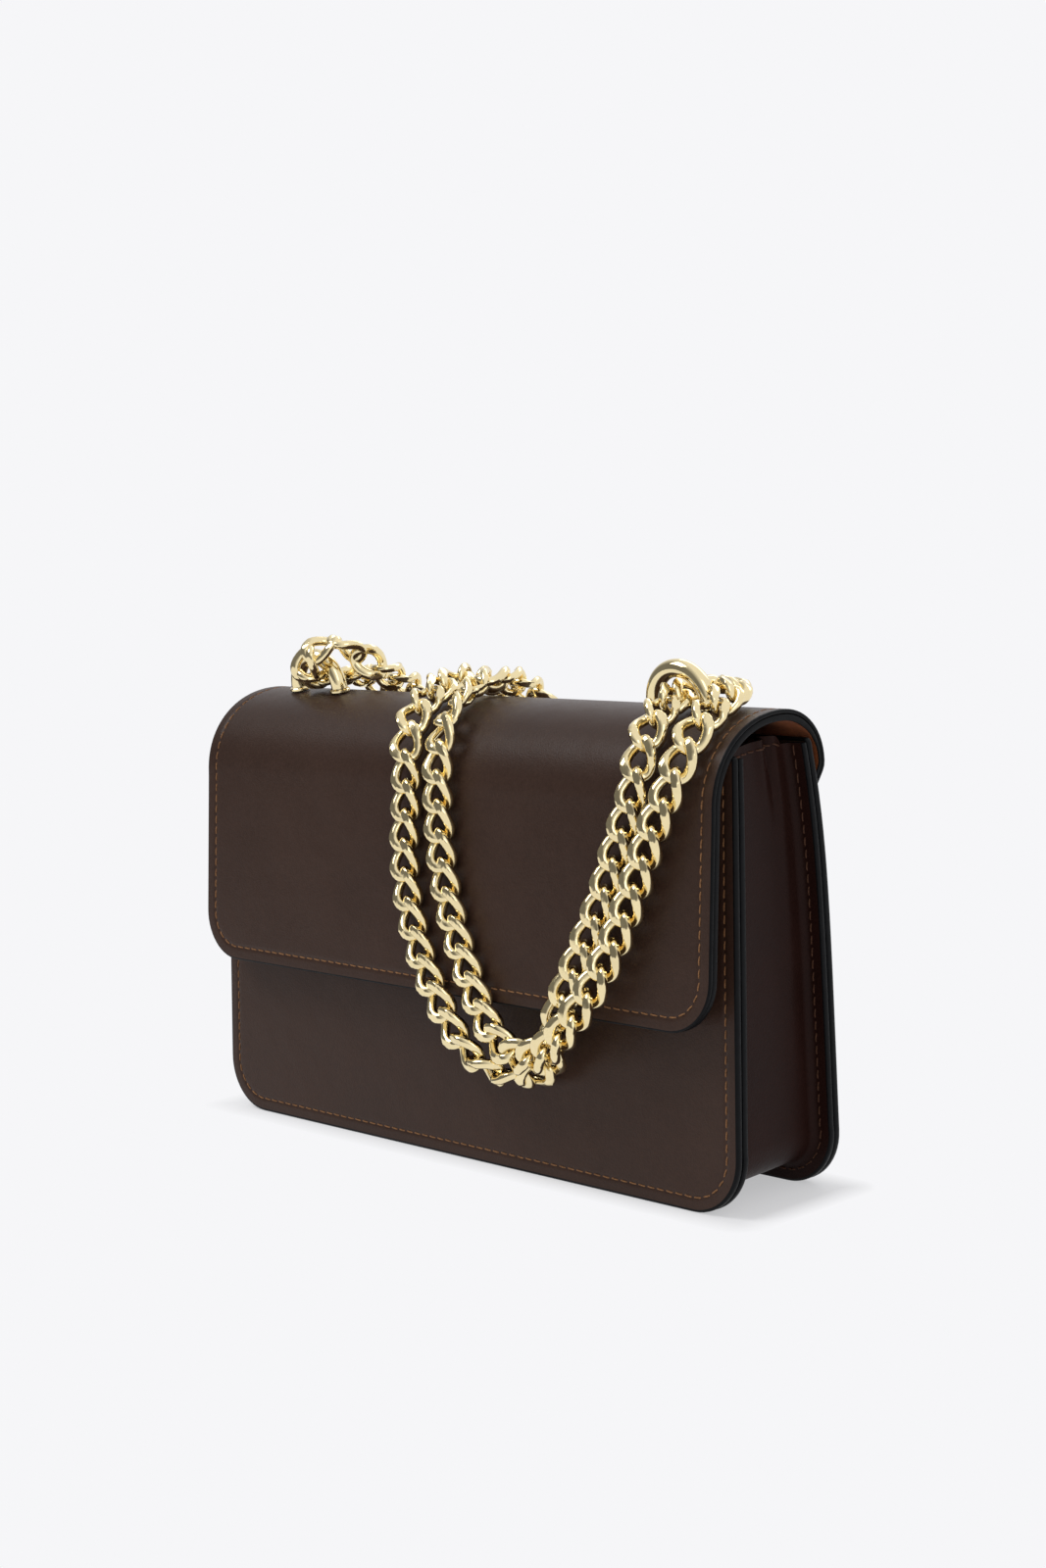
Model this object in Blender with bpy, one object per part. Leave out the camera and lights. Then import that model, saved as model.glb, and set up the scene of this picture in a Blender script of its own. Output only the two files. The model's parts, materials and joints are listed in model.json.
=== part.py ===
"""Leather crossbody bag: stiff panels, a U-shaped gusset, a flap with a magnetic snap,
two metal arches on the flap's crest and a doubled curb chain that runs through both.

X runs along the bag, Y from front to back and Z up. The bag stands on z = 0.
All sizes are in metres.
"""
import math

import bmesh
import bpy
import numpy as np
from mathutils import Vector

# Gap between neighbouring pieces, how far a cutter passes its piece, and the steepest bend
# between two faces that still shades round.
CLEARANCE = 0.0003
OVERRUN = 0.004
SMOOTH_ANGLE = math.radians(45)

# Front and back panels: equal plates that lean together towards the top.
PANEL_WIDTH = 0.2325
PANEL_TOP_WIDTH = 0.2303
PANEL_HEIGHT = 0.1328
PANEL_THICKNESS = 0.0023
PANEL_CORNER_RADIUS = 0.0175
BASE_DEPTH = 0.0473
TOP_DEPTH = 0.0380
CORNER_STEPS = 7

# Gusset: one strip of C section down both sides and along the bottom.
GUSSET_INSET = 0.0045
GUSSET_THICKNESS = 0.0021
GUSSET_TOP_DROP = 0.001

# Suede lining, and the board that keeps the base flat.
LINING_THICKNESS = 0.0008
LINING_STANDOFF = 0.0013
LINING_TOP_DROP = 0.003
BOARD_THICKNESS = 0.0016
BOARD_MARGIN = 0.003

# Flap: a face that stands off the front, a wide arch over the top and a sewn strip behind.
FLAP_WIDTH = 0.2295
FLAP_LEATHER_THICKNESS = 0.0013
FLAP_LINING_THICKNESS = 0.0008
FLAP_CORNER_RADIUS = 0.016
FLAP_EDGE_HEIGHT = 0.0544
FLAP_EDGE_REACH = 0.0324
FLAP_SHOULDER_HEIGHT = 0.1167
FLAP_SHOULDER_REACH = 0.0281
FLAP_CREST_HEIGHT = 0.1443
FLAP_CREST_SETBACK = 0.003
FLAP_BACK_REACH = 0.0232
FLAP_FULLNESS_SHARE = 0.943
FLAP_LINING_MARGIN = 0.0004
HINGE_HEIGHT = 0.127
HINGE_RADIUS = 0.0015
KNUCKLE_STEPS = 4
STRIP_EDGE_HEIGHT = 0.108
STRIP_CORNER_RADIUS = 0.014
STRIP_TOP_SLOPE = math.radians(15)
FACE_STEPS = 4
ARCH_STEPS = 12

# Arches: half rings of round bar on the flap's crest, each foot on a collar and a screw.
ARCH_OFFSET = 0.0825
ARCH_SETBACK = -0.0035
ARCH_SPAN = 0.021
ARCH_BAR = 0.0055
ARCH_LEG = 0.0018
ARCH_SIDES = 10
ARCH_BEND_STEPS = 10
COLLAR_DIAMETER = 0.0068
COLLAR_HEIGHT = 0.0012
SCREW_DIAMETER = 0.0024
SCREW_GRIP = 0.003
SCREW_HEAD_DIAMETER = 0.005
SCREW_HEAD_HEIGHT = 0.0011
WASHER_DIAMETER = 0.007
WASHER_THICKNESS = 0.0005
TURNED_STEPS = 12

# Magnetic snap behind the flap's lower edge.
SNAP_HEIGHT = 0.072
SNAP_DIAMETER = 0.017
SNAP_STEPS = 20
SOCKET_THICKNESS = 0.0034
SOCKET_BORE = 0.0076
SOCKET_BORE_DEPTH = 0.002
STUD_PLATE_THICKNESS = 0.0013
STUD_DIAMETER = 0.0044
STUD_HEIGHT = 0.0014
SNAP_POST_DIAMETER = 0.004
SNAP_WASHER_DIAMETER = 0.011
SNAP_WASHER_THICKNESS = 0.0006

# Curb chain: links of square-cut wire, each twisted about the chain's own line. The links of
# one stretch are drawn tight, so that they bite into each other by a little and make one body.
CHAIN_PITCH = 0.0092
LINK_WIRE = 0.0026
LINK_WIDTH = 0.0110
LINK_BITE = 0.0006
SWING_PLAY = 0.0006
LINK_TWIST = math.radians(45)
HOOK_TWISTED_SHARE = 0.43
LINK_FULLNESS_SHARE = 0.87
LINK_STATIONS = 8
WIRE_SIDES = 4
ROLL_FADE_LINKS = 3
ROUTE_STEPS = 12
PITCH_SEARCH_STEPS = 40

# Lines along X about which the front and the rear loops of the chain swing: (y, z).
FRONT_SWING_LINE = (-0.0120, 0.1474)
REAR_SWING_LINE = (0.0130, 0.1482)

# The chain's route in eight stretches: points (x, y, z) chosen along each, between the swing
# lines, and the way its flat side faces. The loops repeat the photographed fall of the chain.
FRONT_OUTER_ROUTE = [
    (-0.0126, -0.0238, 0.1406), (-0.0096, -0.0308, 0.1296), (-0.0086, -0.0318, 0.1180),
    (-0.0094, -0.0326, 0.1050), (-0.0092, -0.0334, 0.0930), (-0.0064, -0.0343, 0.0790),
    (0.0000, -0.0353, 0.0635), (0.0088, -0.0359, 0.0500), (0.0176, -0.0358, 0.0393),
    (0.0266, -0.0344, 0.0336), (0.0345, -0.0317, 0.0318), (0.0418, -0.0301, 0.0326),
    (0.0480, -0.0300, 0.0372), (0.0520, -0.0310, 0.0438), (0.0555, -0.0340, 0.0503),
    (0.0592, -0.0356, 0.0570), (0.0642, -0.0354, 0.0665), (0.0700, -0.0344, 0.0780),
    (0.0762, -0.0335, 0.0909), (0.0814, -0.0325, 0.1054), (0.0856, -0.0319, 0.1156),
    (0.0890, -0.0306, 0.1290), (0.0874, -0.0238, 0.1406)]
FRONT_INNER_ROUTE = [
    (0.1048, -0.0238, 0.1406), (0.1042, -0.0308, 0.1300), (0.1010, -0.0328, 0.1210),
    (0.0974, -0.0338, 0.1136), (0.0932, -0.0345, 0.1025), (0.0876, -0.0356, 0.0886),
    (0.0822, -0.0370, 0.0765), (0.0762, -0.0390, 0.0655), (0.0696, -0.0406, 0.0562),
    (0.0622, -0.0404, 0.0488), (0.0540, -0.0390, 0.0434), (0.0453, -0.0376, 0.0405),
    (0.0366, -0.0366, 0.0414), (0.0284, -0.0361, 0.0484), (0.0215, -0.0355, 0.0605),
    (0.0150, -0.0346, 0.0734), (0.0099, -0.0337, 0.0874), (0.0068, -0.0327, 0.1028),
    (0.0058, -0.0319, 0.1158), (0.0054, -0.0308, 0.1290), (0.0028, -0.0238, 0.1406)]
REAR_OUTER_ROUTE = [
    (-0.0040, 0.0240, 0.1420), (-0.0041, 0.0284, 0.1312), (-0.0050, 0.0286, 0.1180),
    (-0.0090, 0.0286, 0.1040), (-0.0160, 0.0286, 0.0920), (-0.0270, 0.0286, 0.0830),
    (-0.0400, 0.0286, 0.0800), (-0.0530, 0.0286, 0.0830), (-0.0640, 0.0286, 0.0920),
    (-0.0710, 0.0286, 0.1040), (-0.0738, 0.0286, 0.1180), (-0.0750, 0.0284, 0.1312),
    (-0.0763, 0.0240, 0.1420)]
REAR_INNER_ROUTE = [
    (-0.0630, 0.0240, 0.1420), (-0.0628, 0.0284, 0.1312), (-0.0610, 0.0286, 0.1190),
    (-0.0560, 0.0286, 0.1070), (-0.0480, 0.0286, 0.0985), (-0.0400, 0.0286, 0.0960),
    (-0.0320, 0.0286, 0.0985), (-0.0245, 0.0286, 0.1070), (-0.0200, 0.0286, 0.1190),
    (-0.0184, 0.0284, 0.1312), (-0.0182, 0.0240, 0.1420)]
RIGHT_TURN_ROUTE = [
    (0.0838, -0.0035, 0.1487), (0.0846, 0.0035, 0.1494), (0.0888, 0.0072, 0.1501),
    (0.0942, 0.0062, 0.1503), (0.0990, 0.0010, 0.1503), (0.1032, -0.0055, 0.1499)]
LEFT_TURN_ROUTE = [
    (-0.0794, 0.0045, 0.1486), (-0.0822, -0.0035, 0.1480), (-0.0813, -0.0116, 0.1503),
    (-0.0776, -0.0130, 0.1560), (-0.0734, -0.0092, 0.1608), (-0.0686, -0.0030, 0.1600),
    (-0.0634, 0.0040, 0.1528)]
TOP_OUTER_ROUTE = [(-0.0184, 0.0070, 0.1498), (-0.0180, -0.0012, 0.1498)]
TOP_INNER_ROUTE = [(-0.0013, -0.0060, 0.1494), (-0.0028, 0.0020, 0.1498)]
SIDEWAYS_SWING_PLACES = {
    "front_outer_start": -0.0152, "front_outer_end": 0.0850,
    "front_inner_start": 0.1045, "front_inner_end": 0.0002,
    "rear_outer_start": -0.0040, "rear_outer_end": -0.0776,
    "rear_inner_start": -0.0630, "rear_inner_end": -0.0182}

# The outer loop turns onto its edge at the bottom and passes behind the inner one: the middle of
# that place along X, how far it reaches to each side, and the angle.
EDGE_TURN_MIDDLE = 0.034
EDGE_TURN_REACH = 0.026
EDGE_TURN = math.radians(75)
TOWARDS_FRONT = (0.0, -1.0, 0.0)
TOWARDS_BACK = (0.0, 1.0, 0.0)
UPWARDS = (0.0, 0.0, 1.0)

# Finishes: colour, roughness, metallic.
LEATHER_FINISH = ((0.058, 0.038, 0.030, 1.0), 0.42, 0.0)
GUSSET_FINISH = ((0.032, 0.019, 0.015, 1.0), 0.48, 0.0)
SUEDE_FINISH = ((0.30, 0.115, 0.035, 1.0), 0.95, 0.0)
BOARD_FINISH = ((0.22, 0.17, 0.12, 1.0), 0.9, 0.0)
GOLD_FINISH = ((0.83, 0.66, 0.33, 1.0), 0.16, 1.0)
STEEL_FINISH = ((0.55, 0.55, 0.54, 1.0), 0.3, 1.0)


def clear_scene():
    """Remove every object that the opened file holds."""
    for thing in list(bpy.data.objects):
        bpy.data.objects.remove(thing, do_unlink=True)


def finish(thing, look):
    """Give a piece its own Principled material."""
    colour, roughness, metallic = look
    material = bpy.data.materials.new(thing.name)
    material.use_nodes = True
    shader = material.node_tree.nodes["Principled BSDF"]
    shader.inputs["Base Color"].default_value = colour
    shader.inputs["Roughness"].default_value = roughness
    shader.inputs["Metallic"].default_value = metallic
    thing.data.materials.append(material)


def solid(name, vertices, faces, parent, look, smooth_angle=None):
    """A closed mesh under its parent empty, with faces pointing outwards."""
    mesh = bpy.data.meshes.new(name)
    mesh.from_pydata([tuple(v) for v in vertices], [], faces)
    form = bmesh.new()
    form.from_mesh(mesh)
    bmesh.ops.recalc_face_normals(form, faces=form.faces)
    form.to_mesh(mesh)
    form.free()
    if smooth_angle is not None:
        mesh.shade_smooth()
        mesh.set_sharp_from_angle(angle=smooth_angle)
    thing = bpy.data.objects.new(name, mesh)
    bpy.context.collection.objects.link(thing)
    thing.parent = parent
    if look is not None:
        finish(thing, look)
    return thing


def empty(name, parent, place):
    """An unturned empty whose place is given in the bag's own frame."""
    thing = bpy.data.objects.new(name, None)
    bpy.context.collection.objects.link(thing)
    thing.parent = parent
    thing.location = Vector(place) - (world_place(parent) if parent else Vector())
    return thing


def world_place(thing):
    """Place of an unturned empty in the bag's own frame, summed up through its parents."""
    total = Vector()
    while thing is not None:
        total += thing.location
        thing = thing.parent
    return total


def cut(thing, cutter, operation="DIFFERENCE"):
    """Subtract a hidden cutter from a piece, or unite it with one."""
    cutter.hide_render = True
    cutter.display_type = "WIRE"
    tool = thing.modifiers.new(cutter.name, "BOOLEAN")
    tool.operation = operation
    tool.solver = "EXACT"
    tool.object = cutter


def prism_faces(count):
    """Side and end faces of a prism whose two rings hold `count` vertices each."""
    sides = [(i, (i + 1) % count, count + (i + 1) % count, count + i) for i in range(count)]
    return sides + [tuple(range(count - 1, -1, -1)), tuple(range(count, 2 * count))]


def tube_faces(rings, count, closed=False):
    """Faces of a tube of `rings` rings, with end caps unless it closes on itself."""
    steps = rings if closed else rings - 1
    faces = []
    for r in range(steps):
        here, there = r * count, (r + 1) % rings * count
        for i in range(count):
            j = (i + 1) % count
            faces.append((here + i, here + j, there + j, there + i))
    if not closed:
        last = (rings - 1) * count
        faces += [tuple(range(count - 1, -1, -1)), tuple(range(last, last + count))]
    return faces


def half_depth(height):
    """Distance from the bag's middle plane to a panel's outer face."""
    share = np.asarray(height) / PANEL_HEIGHT
    return (BASE_DEPTH + (TOP_DEPTH - BASE_DEPTH) * share) / 2


def half_width(height):
    """Distance from the bag's middle to a panel's side edge."""
    share = np.asarray(height) / PANEL_HEIGHT
    return (PANEL_WIDTH + (PANEL_TOP_WIDTH - PANEL_WIDTH) * share) / 2


def panel_edge(inset, top_drop=0.0):
    """Edge line (x, z) of a panel from its left top, round the bottom, to its right top.

    A larger inset moves the line inwards along its own normal."""
    centre = PANEL_CORNER_RADIUS
    radius = PANEL_CORNER_RADIUS - inset
    top = PANEL_HEIGHT - top_drop
    right = []
    for angle in np.linspace(0, math.pi / 2, CORNER_STEPS):
        height = centre - radius * math.cos(angle)
        side = half_width(0) - PANEL_CORNER_RADIUS + radius * math.sin(angle)
        right.append((side, height))
    right.append((half_width(top) - inset, top))
    left = [(-x, z) for x, z in reversed(right)]
    return left + right


def plate(name, side, inset, depths, top_drop, parent, look):
    """A plate that follows a panel: `side` is -1 in front and 1 behind."""
    line = panel_edge(inset, top_drop)
    vertices = [(x, side * (half_depth(z) - d), z) for d in depths for x, z in line]
    return solid(name, vertices, prism_faces(len(line)), parent, look)


def gusset_strip(name, section, top_drop, parent, look):
    """Sweep a closed section round the panels' edge line.

    Each section point is (inset, side, depth from that side's outer face)."""
    lines = [(panel_edge(inset, top_drop), side, depth) for inset, side, depth in section]
    rings = len(lines[0][0])
    vertices = []
    for r in range(rings):
        for line, side, depth in lines:
            x, z = line[r]
            vertices.append((x, side * (half_depth(z) - depth), z))
    return solid(name, vertices, tube_faces(rings, len(section)), parent, look)


def flap_profile():
    """Outer line (y, z) of the flap from its free edge up, over the crest and down to the hinge."""
    front = [(-FLAP_EDGE_REACH + (FLAP_EDGE_REACH - FLAP_SHOULDER_REACH) * share,
              FLAP_EDGE_HEIGHT + (FLAP_SHOULDER_HEIGHT - FLAP_EDGE_HEIGHT) * share)
             for share in np.linspace(0, 1, FACE_STEPS, endpoint=False)]
    turns = np.linspace(0, math.pi / 2, ARCH_STEPS)
    sines = np.sin(turns) ** FLAP_FULLNESS_SHARE
    cosines = np.cos(turns).clip(0) ** FLAP_FULLNESS_SHARE
    fore = [(FLAP_CREST_SETBACK - (FLAP_SHOULDER_REACH + FLAP_CREST_SETBACK) * c,
             FLAP_SHOULDER_HEIGHT + (FLAP_CREST_HEIGHT - FLAP_SHOULDER_HEIGHT) * s)
            for c, s in zip(cosines, sines)]
    aft = [(FLAP_CREST_SETBACK + (FLAP_BACK_REACH - FLAP_CREST_SETBACK) * s,
            HINGE_HEIGHT + (FLAP_CREST_HEIGHT - HINGE_HEIGHT) * c)
           for c, s in zip(cosines[1:], sines[1:])]
    return np.array(front + fore + aft)


def profile_normals(line):
    """Unit normals of a (y, z) line, pointing away from the bag."""
    run = np.gradient(line, axis=0)
    run /= np.linalg.norm(run, axis=1)[:, None]
    return np.stack([-run[:, 1], run[:, 0]], axis=1)


def corner_rows(radius):
    """Distance from the free edge, and loss of half width, through a rounded corner."""
    angles = np.linspace(0, math.pi / 2, CORNER_STEPS)
    return radius * (1 - np.cos(angles)), radius * (1 - np.sin(angles))


def sheet(name, outer, inner, halves, parent, look):
    """A bent sheet that is straight along X: rows of (y, z) outside and inside."""
    origin = world_place(parent)
    vertices = []
    for (y0, z0), (y1, z1), half in zip(outer, inner, halves):
        row = [(-half, y0, z0), (half, y0, z0), (half, y1, z1), (-half, y1, z1)]
        vertices += [Vector(v) - origin for v in row]
    return solid(name, vertices, tube_faces(len(halves), 4), parent, look)


def flap_rows(margin):
    """Rows of the flap: points on its outer line, normals, and half widths."""
    line = flap_profile()
    lengths = np.concatenate([[0], np.cumsum(np.linalg.norm(np.diff(line, axis=0), axis=1))])
    corner, loss = corner_rows(FLAP_CORNER_RADIUS)
    stations = np.concatenate([corner + margin, lengths[lengths > corner[-1] + margin + OVERRUN]])
    points = np.stack([np.interp(stations, lengths, line[:, k]) for k in (0, 1)], axis=1)
    halves = np.full(len(stations), FLAP_WIDTH / 2 - margin)
    halves[:len(loss)] -= loss
    return points, profile_normals(points), halves


def flap_leather(parent):
    """Outer leather, with its rear end rolled into a half-round knuckle on the hinge."""
    points, normals, halves = flap_rows(0.0)
    outer = list(points)
    inner = list(points - normals * FLAP_LEATHER_THICKNESS)
    centre = np.array([FLAP_BACK_REACH - HINGE_RADIUS, HINGE_HEIGHT])
    inner[-1] = centre + np.array([-HINGE_RADIUS, 0])
    for angle in np.linspace(0, math.pi / 2, KNUCKLE_STEPS + 1)[1:]:
        drop = -HINGE_RADIUS * math.sin(angle)
        side = max(HINGE_RADIUS * math.cos(angle), CLEARANCE)
        outer.append(centre + np.array([side, drop]))
        inner.append(centre + np.array([-side, drop]))
    halves = np.concatenate([halves, np.full(len(outer) - len(halves), halves[-1])])
    return sheet("flap_leather", outer, inner, halves, parent, LEATHER_FINISH)


def flap_lining(parent):
    """Suede lining under the flap leather, ending just above the hinge."""
    points, normals, halves = flap_rows(FLAP_LINING_MARGIN)
    keep = points[:, 1] > 0
    last = points[:, 1] < HINGE_HEIGHT + 2 * HINGE_RADIUS
    keep[last & (points[:, 0] > 0)] = False
    depth = FLAP_LEATHER_THICKNESS + CLEARANCE
    outer = points - normals * depth
    inner = outer - normals * FLAP_LINING_THICKNESS
    return sheet("flap_lining", outer[keep], inner[keep], halves[keep], parent, SUEDE_FINISH)


def flap_strip(parent):
    """Sewn rear edge of the flap, on the back panel's outside below the hinge."""
    top = HINGE_HEIGHT - HINGE_RADIUS - CLEARANCE
    drop, loss = corner_rows(STRIP_CORNER_RADIUS)
    heights = np.concatenate([STRIP_EDGE_HEIGHT + drop, [top]])
    halves = np.full(len(heights), FLAP_WIDTH / 2)
    halves[:len(loss)] -= loss
    shift = FLAP_BACK_REACH - half_depth(HINGE_HEIGHT)
    outer = np.stack([half_depth(heights) + shift, heights], axis=1)
    inner = np.stack([half_depth(heights) + CLEARANCE, heights], axis=1)
    outer[-1, 1] -= (outer[-1, 0] - inner[-1, 0]) * math.tan(STRIP_TOP_SLOPE)
    return sheet("flap_strip", outer, inner, halves, parent, LEATHER_FINISH)


def turned(name, profile, steps, parent, look):
    """Turn a closed (radius, height) profile about Z. Points on the axis close the ends."""
    vertices, rings = [], []
    for radius, height in profile:
        if radius == 0:
            rings.append([len(vertices)])
            vertices.append((0.0, 0.0, height))
            continue
        rings.append([len(vertices) + k for k in range(steps)])
        vertices += [(radius * math.cos(a), radius * math.sin(a), height)
                     for a in (math.tau * k / steps for k in range(steps))]
    faces = []
    pairs = zip(rings, rings[1:] + rings[:1])
    for here, there in pairs:
        for k in range(steps):
            j = (k + 1) % steps
            corners = [here[k % len(here)], here[j % len(here)],
                       there[j % len(there)], there[k % len(there)]]
            corners = list(dict.fromkeys(corners))
            if len(corners) > 2:
                faces.append(tuple(corners))
    return solid(name, vertices, faces, parent, look, SMOOTH_ANGLE)


def rod_profile(diameter, low, high):
    """Profile of a plain rod from `low` to `high`."""
    return [(0, low), (diameter / 2, low), (diameter / 2, high), (0, high)]


def ring_profile(bore, diameter, low, high):
    """Profile of a plain ring from `low` to `high`."""
    return [(bore / 2, low), (diameter / 2, low), (diameter / 2, high), (bore / 2, high)]


def crest_at(setback):
    """Height and slope angle of the flap's outer line at a distance behind the middle plane."""
    line = flap_profile()
    over = line[line[:, 1] >= FLAP_SHOULDER_HEIGHT]
    heights = np.interp([setback - ARCH_BAR / 2, setback, setback + ARCH_BAR / 2],
                        over[:, 0], over[:, 1])
    return heights[1], math.atan2(heights[2] - heights[0], ARCH_BAR)


def arch_feet(side):
    """Places along X of an arch's two feet."""
    return [side * ARCH_OFFSET + foot * ARCH_SPAN / 2 for foot in (-1, 1)]


def arch_seat(parent, x):
    """An empty on the flap's outer face under a foot, turned to the leather's normal."""
    height, slope = crest_at(ARCH_SETBACK)
    seat = empty("seat", parent, (x, ARCH_SETBACK, height))
    seat.rotation_euler.x = slope
    return seat


def arch(name, side, parent):
    """Half ring of round bar on two short legs, with a blind screw hole up each foot."""
    radius = ARCH_SPAN / 2
    low = COLLAR_HEIGHT + 2 * CLEARANCE
    line = [(-radius, 0, low)]
    for angle in np.linspace(math.pi, 0, ARCH_BEND_STEPS + 1):
        line.append((radius * math.cos(angle), 0, ARCH_LEG + radius * math.sin(angle)))
    line.append((radius, 0, low))
    vertices = []
    for k, (x, _, z) in enumerate(line):
        ends = k in (0, len(line) - 1)
        turn = (math.pi if x < 0 else 0) if ends else math.pi * (1 - (k - 1) / ARCH_BEND_STEPS)
        outward = np.array([math.cos(turn), 0, math.sin(turn)])
        for side_turn in (math.tau * s / ARCH_SIDES for s in range(ARCH_SIDES)):
            reach = outward * math.cos(side_turn) + np.array([0, math.sin(side_turn), 0])
            vertices.append(np.array([x, 0, z]) + reach * ARCH_BAR / 2)
    seat = arch_seat(parent, side * ARCH_OFFSET)
    faces = tube_faces(len(line), ARCH_SIDES)
    bar = solid(name, vertices, faces, seat, GOLD_FINISH, SMOOTH_ANGLE)
    depth = low + SCREW_GRIP + CLEARANCE
    for foot in (-1, 1):
        profile = rod_profile(SCREW_DIAMETER + 2 * CLEARANCE, -OVERRUN, depth)
        cutter = turned(f"{name}_bore", profile, TURNED_STEPS, seat, None)
        cutter.location.x = foot * radius
        cut(bar, cutter)
    return bar


def arch_hardware(parent, layers):
    """Collars, washers and screws of the four feet, and their holes through the flap."""
    depth = FLAP_LEATHER_THICKNESS + FLAP_LINING_THICKNESS + 2 * CLEARANCE
    bore = SCREW_DIAMETER + 2 * CLEARANCE
    washer_top = -depth - CLEARANCE
    washer_low = washer_top - WASHER_THICKNESS
    head_top = washer_low - CLEARANCE
    tip = COLLAR_HEIGHT + 2 * CLEARANCE + SCREW_GRIP
    half = SCREW_DIAMETER / 2
    head = SCREW_HEAD_DIAMETER / 2
    screw_profile = [(0, head_top - SCREW_HEAD_HEIGHT), (head, head_top - SCREW_HEAD_HEIGHT),
                     (head, head_top), (half, head_top), (half, tip), (0, tip)]
    collar = ring_profile(bore, COLLAR_DIAMETER, CLEARANCE, CLEARANCE + COLLAR_HEIGHT)
    washer = ring_profile(bore, WASHER_DIAMETER, washer_low, washer_top)
    hole = rod_profile(bore, -depth - OVERRUN, OVERRUN)
    kinds = {"collar": (collar, GOLD_FINISH), "washer": (washer, STEEL_FINISH),
             "screw": (screw_profile, STEEL_FINISH)}
    for arch_name, side in (("left_arch", -1), ("right_arch", 1)):
        for foot_name, x in zip(("outer", "inner")[::-side], arch_feet(side)):
            seat = arch_seat(parent, x)
            for kind, (profile, look) in kinds.items():
                name = f"{arch_name}_{foot_name}_{kind}"
                turned(name, profile, TURNED_STEPS, seat, look)
            cutter = turned("foot_hole", hole, TURNED_STEPS, seat, None)
            for layer in layers:
                cut(layer, cutter)


def snap(parent, flap, panel, lining):
    """Magnetic snap: a socket on the front panel and a stud on the flap, each with a washer."""
    lean = math.atan2((BASE_DEPTH - TOP_DEPTH) / 2, PANEL_HEIGHT)
    seat = empty("socket_seat", parent, (0, -half_depth(SNAP_HEIGHT), SNAP_HEIGHT))
    seat.rotation_euler.x = math.pi / 2 - lean
    bore = SNAP_POST_DIAMETER + 2 * CLEARANCE
    outside = SNAP_DIAMETER / 2
    mouth = SOCKET_BORE / 2
    post = SNAP_POST_DIAMETER / 2
    face = CLEARANCE + SOCKET_THICKNESS
    back = -PANEL_THICKNESS - CLEARANCE - SNAP_WASHER_THICKNESS
    socket_profile = [(0, back), (post, back), (post, CLEARANCE), (outside, CLEARANCE),
                      (outside, face), (mouth, face), (mouth, face - SOCKET_BORE_DEPTH),
                      (0, face - SOCKET_BORE_DEPTH)]
    turned("snap_socket", socket_profile, SNAP_STEPS, seat, GOLD_FINISH)
    washer = ring_profile(bore, SNAP_WASHER_DIAMETER, back, back + SNAP_WASHER_THICKNESS)
    turned("snap_socket_washer", washer, SNAP_STEPS, seat, STEEL_FINISH)
    hole = rod_profile(bore, -PANEL_THICKNESS - OVERRUN, OVERRUN)
    cut(panel, turned("socket_hole", hole, TURNED_STEPS, seat, None))

    rise = FLAP_SHOULDER_HEIGHT - FLAP_EDGE_HEIGHT
    tilt = math.atan2(FLAP_EDGE_REACH - FLAP_SHOULDER_REACH, rise)
    reach = FLAP_EDGE_REACH - (SNAP_HEIGHT - FLAP_EDGE_HEIGHT) * math.tan(tilt)
    under = FLAP_LEATHER_THICKNESS + CLEARANCE
    stud_seat = empty("stud_seat", flap, (0, -reach, SNAP_HEIGHT))
    stud_seat.rotation_euler.x = -math.pi / 2 - tilt
    base = under + CLEARANCE
    plate_low = under + FLAP_LINING_THICKNESS + CLEARANCE
    plate_top = plate_low + STUD_PLATE_THICKNESS
    stud = STUD_DIAMETER / 2
    stud_profile = [(0, base), (post, base), (post, plate_low), (outside, plate_low),
                    (outside, plate_top), (stud, plate_top), (stud, plate_top + STUD_HEIGHT),
                    (0, plate_top + STUD_HEIGHT)]
    turned("snap_stud", stud_profile, SNAP_STEPS, stud_seat, GOLD_FINISH)
    washer = ring_profile(bore, SNAP_WASHER_DIAMETER, base, base + SNAP_WASHER_THICKNESS)
    turned("snap_stud_washer", washer, SNAP_STEPS, stud_seat, STEEL_FINISH)
    pocket = rod_profile(SNAP_WASHER_DIAMETER + 2 * CLEARANCE, under - CLEARANCE / 2,
                         under + OVERRUN)
    cut(lining, turned("stud_pocket", pocket, SNAP_STEPS, stud_seat, None))


def unit(vector):
    """A vector's direction."""
    vector = np.asarray(vector, float)
    return vector / np.linalg.norm(vector)


def link_reach():
    """How far the middle of a link's end wire lies beyond the knot that it shares."""
    return (LINK_WIRE - LINK_BITE) / 2


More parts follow.
